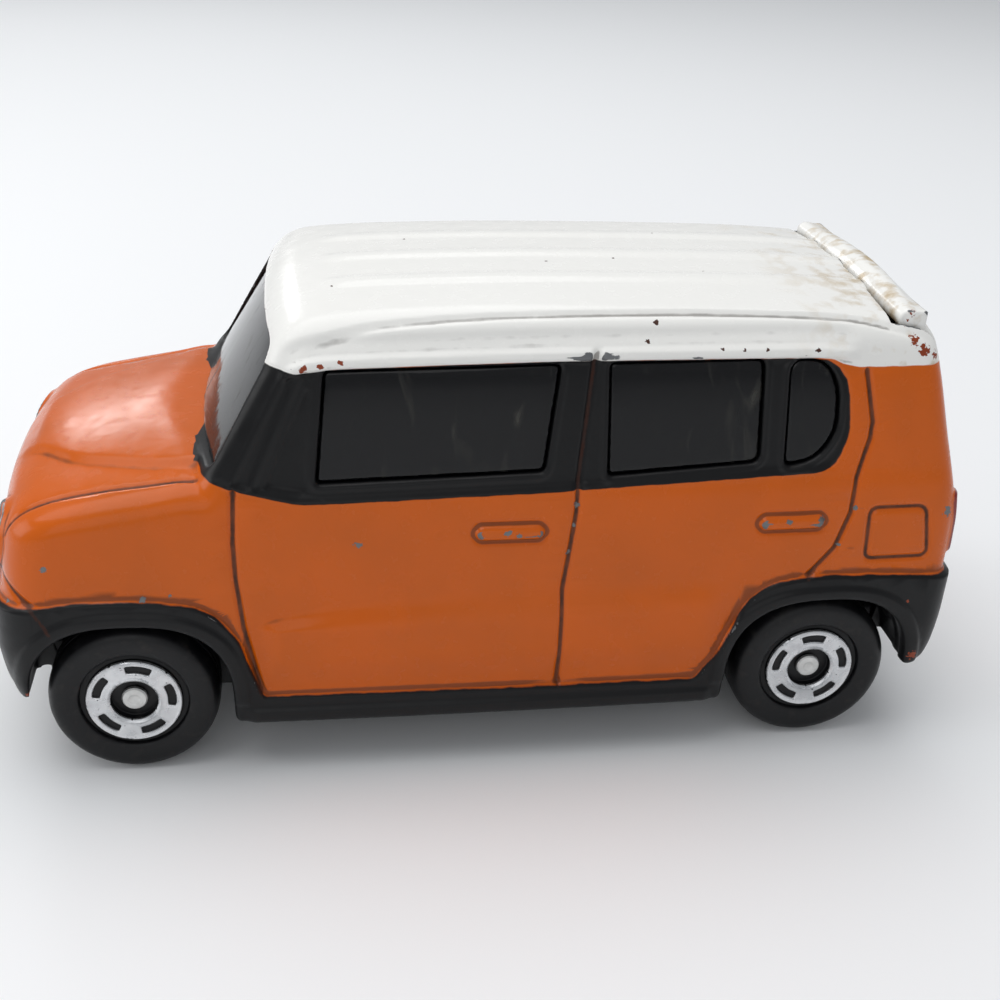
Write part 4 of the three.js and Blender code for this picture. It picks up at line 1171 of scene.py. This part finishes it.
def foil_sector():
    """A fifth of the foil ring with the slot in its middle, as matching loops from slot to rim."""
    steps = 22
    half = math.pi / 5
    slot_in, slot_out, slot_half = 1.98, 2.5, 0.345
    f = HALF_WHEEL

    def around(inner, outer, sweep, corner):
        """One loop of points: out along one side, over the outer arc, back in, and home."""
        loop = []
        for k in range(4 * steps):
            angle = 2 * math.pi * (k + 0.5) / (4 * steps)
            c, s = math.cos(angle), math.sin(angle)
            reach = (abs(c) ** corner + abs(s) ** corner) ** (-1 / corner)
            along = max(-1, min(1, c * reach))
            across = max(-1, min(1, s * reach))
            radius = (inner + outer) / 2 + along * (outer - inner) / 2
            loop.append((radius, across * sweep))
        return loop

    slot = around(slot_in, slot_out, slot_half, 7)
    rim = around(RING_INNER, RING_OUTER, half, 400)
    loops = [[(radius, angle, f - 0.33) for radius, angle in slot]]
    for t in (0, 0.06, 0.14, 0.3, 0.5, 0.7, 0.85, 1):
        level = []
        for (r0, a0), (r1, a1) in zip(slot, rim):
            radius, angle = r0 + (r1 - r0) * t, a0 + (a1 - a0) * t
            lip = 0.07 * ramp(1 - abs(radius - RING_INNER - 0.16) / 0.14)
            lip += 0.05 * ramp((radius - RING_OUTER + 0.2) / 0.12)
            soft = 0.05 * (1 - min(t / 0.14, 1)) + 0.06 * (radius - RING_INNER < 0.02)
            soft += 0.06 * (radius > RING_OUTER - 0.02)
            level.append((radius, angle, f - 0.17 + float(lip) - soft))
        loops.append(level)
    loops.append([(r, a, f - 0.36) if abs(abs(a) - half) > 1e-3 else (r, a, y) for r, a, y in loops[-1]])
    points = [(r * math.cos(a), y, r * math.sin(a)) for loop in loops for r, a, y in loop]
    size = 4 * steps
    faces = []
    for i in range(len(loops) - 1):
        for k in range(size):
            a, b = i * size + k, i * size + (k + 1) % size
            faces.append((a, b, b + size, a + size))
    return mesh_object("foil_sector", points, faces)


def ring_of(source, count, phase, name, material):
    """Geometry nodes turn one sector into a whole ring about Y, welded where sectors meet."""
    tree = bpy.data.node_groups.new("ring_of_sectors", "GeometryNodeTree")
    tree.interface.new_socket("Count", in_out="INPUT", socket_type="NodeSocketInt").default_value = 1
    tree.interface.new_socket("Phase", in_out="INPUT", socket_type="NodeSocketFloat").default_value = 0.0
    tree.interface.new_socket("Sector", in_out="INPUT", socket_type="NodeSocketObject")
    tree.interface.new_socket("Geometry", in_out="OUTPUT", socket_type="NodeSocketGeometry")
    entry = node(tree, "NodeGroupInput")
    sector = node(tree, "GeometryNodeObjectInfo", {"Object": entry.outputs["Sector"]})
    spots = node(tree, "GeometryNodePoints", {"Count": entry.outputs["Count"]})
    index = node(tree, "GeometryNodeInputIndex")
    share = node(tree, MATH, {0: index, 1: entry.outputs["Count"]}, operation="DIVIDE")
    angle = node(tree, MATH, {0: share, 1: 2 * math.pi, 2: entry.outputs["Phase"]}, operation="MULTIPLY_ADD")
    turn = node(tree, "ShaderNodeCombineXYZ", {"Y": angle})
    placed = node(tree, "GeometryNodeInstanceOnPoints", {
        "Points": spots, "Instance": sector.outputs["Geometry"], "Rotation": turn,
    })
    real = node(tree, "GeometryNodeRealizeInstances", {0: placed})
    welded = node(tree, "GeometryNodeMergeByDistance", {"Geometry": real, "Distance": 0.002 * MM})
    painted = node(tree, "GeometryNodeSetMaterial", {"Geometry": welded, "Material": material})
    node(tree, "NodeGroupOutput", {0: painted})

    ring = link(bpy.data.objects.new(name, bpy.data.meshes.new(name)))
    repeat = ring.modifiers.new("ring", "NODES")
    repeat.node_group = tree
    values = {"Count": count, "Phase": phase, "Sector": source}
    for item in tree.interface.items_tree:
        if item.in_out == "INPUT":
            repeat[item.identifier] = values[item.name]
    apply_modifiers(ring)
    bpy.data.node_groups.remove(tree)
    return ring


# The turn of each wheel's slots, in degrees about the axle.
SLOT_PHASE = {"front": -172.0, "rear": -90.0}


def make_wheels():
    """Four black mouldings, each with a foil ring pressed onto its face."""
    rubber = moulded_plastic("glossy_black_styrene", "09090B", "101013", 0.34, 0.10)
    foil = hot_foil()
    sector = foil_sector()
    for end, axle_x in (("front", FRONT_AXLE), ("rear", REAR_AXLE)):
        for side, sign in (("left", 1), ("right", -1)):
            body = f"wheel_{end}_{side}"
            place = (axle_x, sign * (WHEEL_FACE - HALF_WHEEL), AXLE_Z)
            turn = None if sign > 0 else Matrix.Rotation(math.pi, 3, "X")
            tyre = set_down(tyre_and_rim(f"tyre_{end}_{side}"), place, turn)
            fit_out(finish_mesh(tyre), body, "wheel_plastic", rubber, body)
            ring = ring_of(sector, 5, math.radians(SLOT_PHASE[end]), f"foil_{end}_{side}", foil)
            fit_out(finish_mesh(set_down(ring, place, turn)), body, "silver_foil", foil, body)
    bpy.data.objects.remove(sector)


def make_axles():
    """Steel wires whose pressed heads show in the hubs."""
    steel = worked_steel("drawn_steel", "C4C4C2", "ECECEA", 0.5)
    head = node_box("front_axle")[1][1]
    neck = head - 0.35
    half = [(0.55, 0), (0.55, neck - 0.02), (0.74, neck), (0.77, neck + 0.04), (0.76, head - 0.12),
            (0.68, head - 0.03), (0.55, head), (0.36, head), (0.3, head - 0.04), (0.12, head - 0.06),
            (0, head - 0.06)]
    profile = [(r, -y) for r, y in reversed(half)] + half[1:]
    for end, axle_x in (("front", FRONT_AXLE), ("rear", REAR_AXLE)):
        wire = set_down(turned(f"axle_wire_{end}", profile, 64), (axle_x, 0, AXLE_Z))
        fit_out(finish_mesh(wire, 30), f"{end}_axle", "steel", steel, f"{end}_axle")


def make_rivets():
    """Two spun rivets that hold the base to the casting's posts."""
    steel = worked_steel("zinc_plated_steel", "7E8082", "B6B8BA", 0.36)
    for end, x in (("front", FRONT_RIVET), ("rear", REAR_RIVET)):
        foot, top = (corner[2] for corner in node_box(f"rivet_{end}"))
        profile = [(0, foot + 0.14), (0.22, foot + 0.12), (0.34, foot + 0.04), (0.5, foot),
                   (0.8, foot + 0.02), (1.0, foot + 0.12), (1.05, foot + 0.3), (0.6, foot + 0.34),
                   (0.55, foot + 0.4), (0.55, top - 0.1), (0.48, top), (0, top)]
        rivet = turned(f"spun_rivet_{end}", profile, 64)
        set_down(rivet, (x, 0, 0), Matrix.Rotation(math.pi / 2, 3, "X"))
        fit_out(finish_mesh(rivet, 30), "car", "steel", steel, f"rivet_{end}")


# ---- Base plate and cabin tub --------------------------------------------------------------------

BASE_PLAN = rounded(mirrored(mirrored([
    [-27.2, -5, 3], [-25.4, -8.3, 2], [-15.6, -8.35, 0.4], [-14.2, -8.8, 0.6], [-14.1, -11.3, 1],
]), axis=1))


def brick(grid, low, high, soft=0.12):
    """A block with rounded edges."""
    field = -1e3
    for values, a, b in ((grid.x, low[0], high[0]), (grid.y, low[1], high[1]), (grid.z, low[2], high[2])):
        field = smooth_max(field, np.maximum(a - values, values - b), soft)
    return field


def make_base():
    """The tray that carries the axles: ribbed floor, cradles, spring pedestals and moulded-in chassis."""
    grid = Grid((-28, 0, SILL - 0.6), (28, SIDE - 0.6, TUB_FLOOR - 0.1))
    x, y, z = grid.x, grid.y, grid.z
    foot = SILL
    plan = grid.from_above(BASE_PLAN)
    tray = smooth_max(plan, np.maximum(foot - z, z - foot - 0.8), 0.15)
    rim = largest(plan, -plan - 0.55, foot - z, z - foot - 2.0)
    walls = largest(np.abs(y - 8.05) - 0.3, z - TUB_FLOOR + 0.25, 14.3 - np.abs(x), np.abs(x) - 26.6,
                    foot + 0.2 - z)
    body = np.minimum(np.minimum(tray, rim), walls)
    for axle_x in (FRONT_AXLE, REAR_AXLE):
        inboard = -np.sign(axle_x)
        cradle = brick(grid, (axle_x - 2.2, 6.3, foot + 0.3), (axle_x + 2.2, 7.2, foot + 3.05))
        root = axle_x + inboard * SPRING_ROOT
        pedestal = brick(grid, (root - 1, -2, foot + 0.3), (root + 1, 1.5, 6.48))
        body = smooth_min(smooth_min(body, cradle, 0.2), pedestal, 0.2)
        slot = np.hypot(x - axle_x, np.maximum(AXLE_Z - z, 0)) - 0.64
        body = np.maximum(body, -np.maximum(slot, 5.5 - y))

    panels = (np.maximum(np.abs(np.abs(x) - 7.2) - 6.1, np.abs(y - 5.6) - 4.3),
              np.maximum(np.abs(x) - 13.3, y - 0.75), np.maximum(np.abs(np.abs(x) - 21.2) - 3.6, y - 5.4))
    relief = largest(*(within(panel, 0.3) for panel in panels))
    pad = np.maximum(np.abs(x + 10.4) - 1.7, np.abs(y - 6.9) - 1.4)
    raised = largest(
        ramp(1.3 - np.abs(y - 3.6) / 0.5), ramp(1.3 - np.abs(np.abs(x) - 7.2) / 0.35) * (y > 1.3),
        ramp(1.3 - np.hypot(np.abs(x) - 21.2, y) / 1.4), within(pad, 0.4),
    )
    body = smooth_max(body, foot + 0.34 * relief * (1 - 0.85 * raised) - z, 0.08)
    for rivet_x in (FRONT_RIVET, REAR_RIVET):
        around = np.hypot(x - rivet_x, y)
        body = np.maximum(body, -np.maximum(around - 1.12, z - foot - 0.42))
        body = np.maximum(body, 0.62 - around)
    base = from_field("base_tray", body, grid.origin, 70000)
    plastic = moulded_plastic("black_base_styrene", "121214", "1D1D20", 0.42, 0.25)
    fit_out(base, "car", "base_plastic", plastic, "base_plate")


TUB_FLOOR = tub_low[2] + 0.69
SEAT_Y = 4.5


def seat_outline(hip_x, foot):
    return rounded([
        [hip_x + 5, foot, 0.5], [hip_x + 5.2, foot + 3.4, 1], [hip_x + 0.9, foot + 3, 0.8],
        [hip_x - 0.5, foot + 7.2, 0.6], [hip_x - 2.2, foot + 7.3, 0.7], [hip_x - 1.2, foot, 0.5],
    ])


def make_tub():
    """Cabin floor, two front seats with head restraints, rear bench and dashboard in one moulding."""
    grid = Grid((-24.2, 0, TUB_FLOOR - 1.2), (18.8, SIDE - 0.6, tub_high[2] + 0.6))
    x, y, z = grid.x, grid.y, grid.z
    plan = grid.from_above(rounded(mirrored([
        [-23.4, -8.3, 1], [-15.6, -8.3, 0.4], [-14.1, -11.1, 1], [14.1, -11.1, 1], [15.6, -8.3, 0.4],
        [18.0, -8.3, 1],
    ], axis=1)))
    top = TUB_FLOOR + 0.8
    body = smooth_max(plan, np.maximum(TUB_FLOOR - z, z - top), 0.15)
    lip = largest(plan, -plan - 0.5, TUB_FLOOR + 0.2 - z, z - top - 0.8)
    body = np.minimum(body, lip)
    single = np.abs(y - SEAT_Y) - 2.55
    for hip_x, half, rest_x in ((FRONT_AXLE - 13.6, single, FRONT_AXLE - 14.3),
                                (REAR_AXLE + 9.5, y - 7.9, REAR_AXLE + 8.8)):
        seat = grid.from_side(seat_outline(hip_x, top - 0.2))
        body = smooth_min(body, smooth_max(seat, half, 0.9), 0.2)
        rest = grid.from_side(rounded([
            [rest_x, top + 6.9, 0.4], [rest_x - 0.2, top + 9.2, 0.7], [rest_x - 1.6, top + 9.3, 0.7],
            [rest_x - 1.4, top + 6.9, 0.4],
        ]))
        body = smooth_min(body, smooth_max(rest, np.abs(y - SEAT_Y) - 1.5, 0.6), 0.15)
    dash = grid.from_side(rounded([
        [17.9, top - 0.2], [17.9, BELT - 2.7, 0.8], [14.9, BELT - 2.2, 1], [14.5, BELT - 4.4, 0.8],
        [16.5, top - 0.2],
    ]))
    body = smooth_min(body, smooth_max(dash, y - 8.2, 0.6), 0.2)
    cowl = smooth_max(np.hypot((x - 15.2) / 1.2, (z - BELT + 2.3) / 0.7) - 1, np.abs(y - SEAT_Y) - 2.0, 0.4)
    body = smooth_min(body, cowl, 0.2)
    console = brick(grid, (8.5, -2, top - 0.1), (16.5, 0.85, top + 2.2), 0.4)
    body = smooth_min(body, console, 0.2)
    for root in (FRONT_AXLE - SPRING_ROOT, REAR_AXLE + SPRING_ROOT):
        body = np.minimum(body, brick(grid, (root - 1, -2, 6.87), (root + 1, 1.5, TUB_FLOOR + 0.2)))
    seams = ramp(1 - np.abs(np.abs(y - SEAT_Y) - 1.55) / 0.16) * (z > top + 1.0)
    body = body + 0.11 * seams * ramp((z - top - 1) / 0.5) * (np.abs(body) < 0.6)
    tub = from_field("cabin_tub", body, grid.origin, 60000)
    plastic = moulded_plastic("charcoal_tub_styrene", "232326", "2F2F33", 0.5, 0.2)
    fit_out(tub, "car", "tub_plastic", plastic, "interior_tub")
    make_steering_wheel(plastic)


def make_steering_wheel(plastic):
    """Rim, three spokes and a column, ahead of the right-hand seat."""
    tube = [(1.5 + 0.17 * math.cos(a), 0.17 * math.sin(a)) for a in np.linspace(0, 2 * math.pi, 14)[:-1]]
    rim = turned("steering_wheel", tube, 48, closed=True)
    column = turned("column", [(0, -0.28), (0.4, -0.28), (0.5, -0.2), (0.5, 0.1), (0.28, 0.3), (0.26, 2.6),
                               (0, 2.6)], 24)
    shape = bmesh.new()
    shape.from_mesh(rim.data)
    shape.from_mesh(column.data)
    for k in range(3):
        spoke = bmesh.ops.create_cube(shape, size=1.0)["verts"]
        angle = math.pi / 2 + k * 2 * math.pi / 3
        place = Matrix.Rotation(angle, 4, "Y") @ Matrix.Translation((0.9 * MM, 0, 0))
        bmesh.ops.transform(shape, matrix=place @ Matrix.Diagonal((1.3 * MM, 0.16 * MM, 0.3 * MM, 1)),
                            verts=spoke)
    shape.to_mesh(rim.data)
    shape.free()
    bpy.data.objects.remove(column)
    lean = Matrix.Rotation(1.25, 3, "Y") @ Matrix.Rotation(math.pi / 2, 3, "X")
    set_down(rim, (FRONT_AXLE - 8.0, -SEAT_Y, BELT - 2.9), lean)
    fit_out(finish_mesh(rim), "car", "tub_plastic", plastic, "interior_tub")


# ---- Casting, tailgate and panes ------------------------------------------------------------------


def make_castings():
    """Painted casting and tailgate, then the clear insert and the tailgate's pane."""
    fields = Fields()
    enamel = enamel_on_zinc()
    for name, field, triangles, body, replaced in (
        ("body_casting", fields.shell, 196000, "car", "body_shell"),
        ("tailgate_casting", fields.gate, 70000, "tailgate", "tailgate"),
    ):
        casting = from_field(name, field(), fields.origin, triangles)
        paint_zones(casting.data)
        fit_out(casting, body, "orange_paint", enamel, replaced)
    clear = smoke_clear_styrene()
    for name, field, triangles, body, replaced in (
        ("clear_insert", fields.panes, 60000, "car", "glazing"),
        ("rear_pane", fields.rear_pane, 16000, "tailgate", "tailgate_glass"),
    ):
        pane = from_field(name, field(), fields.origin, triangles)
        fit_out(pane, body, "smoke_plastic", clear, replaced)


LEAF_THICK = 0.25


def leaf_strip(name, root_x, tip_x, root_z, tip_z):
    """A narrow steel strip in an S bend, with chamfered edges and a tip that turns up."""
    thick, half_wide, chamfer, rounding, stations = LEAF_THICK, 1.5, 0.05, 0.35, 61
    way = 1 if tip_x > root_x else -1
    bend = [(root_x, root_z), (root_x + way * 2.0, root_z), (root_x + way * 3.2, root_z - 0.22),
            (tip_x - way * 3.6, tip_z + 0.12), (tip_x - way * 2.4, tip_z), (tip_x - way * 0.5, tip_z),
            (tip_x, tip_z + 0.08)]
    along = np.linspace(root_x, tip_x, stations)
    points, faces = [], []
    for k, (x, z) in enumerate(zip(along, curve(along, bend))):
        from_end = min(abs(x - root_x), abs(x - tip_x))
        wide = half_wide - rounding * (1 - min(from_end / rounding, 1)) ** 2
        section = [(-wide + chamfer, 0), (wide - chamfer, 0), (wide, chamfer), (wide, thick - chamfer),
                   (wide - chamfer, thick), (-wide + chamfer, thick), (-wide, thick - chamfer),
                   (-wide, chamfer)]
        points += [(x, y, z + rise) for y, rise in section]
        if k:
            base = 8 * (k - 1)
            faces += [(base + a, base + (a + 1) % 8, base + 8 + (a + 1) % 8, base + 8 + a) for a in range(8)]
    faces += [tuple(range(8)), tuple(range(8 * (stations - 1), 8 * stations))]
    return finish_mesh(mesh_object(name, points, faces), 25)


def make_springs():
    """Each leaf is clamped under the tub, and its other end presses on the axle."""
    blued = worked_steel("blued_spring_steel", "4C5054", "7B7F84", 0.34)
    for end, axle_x in (("front", FRONT_AXLE), ("rear", REAR_AXLE)):
        low, high = node_box(f"{end}_leaf_spring")
        root_x, tip_x, way = (low[0], high[0], 1) if end == "front" else (high[0], low[0], -1)
        leaf = leaf_strip(f"leaf_strip_{end}", root_x, tip_x, high[2] - LEAF_THICK, low[2])
        leaf.data.materials.append(blued)
        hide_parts(f"{end}_leaf_spring")
        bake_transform(leaf)


make_castings()
make_wheels()
make_axles()
make_rivets()
make_base()
make_tub()
make_springs()
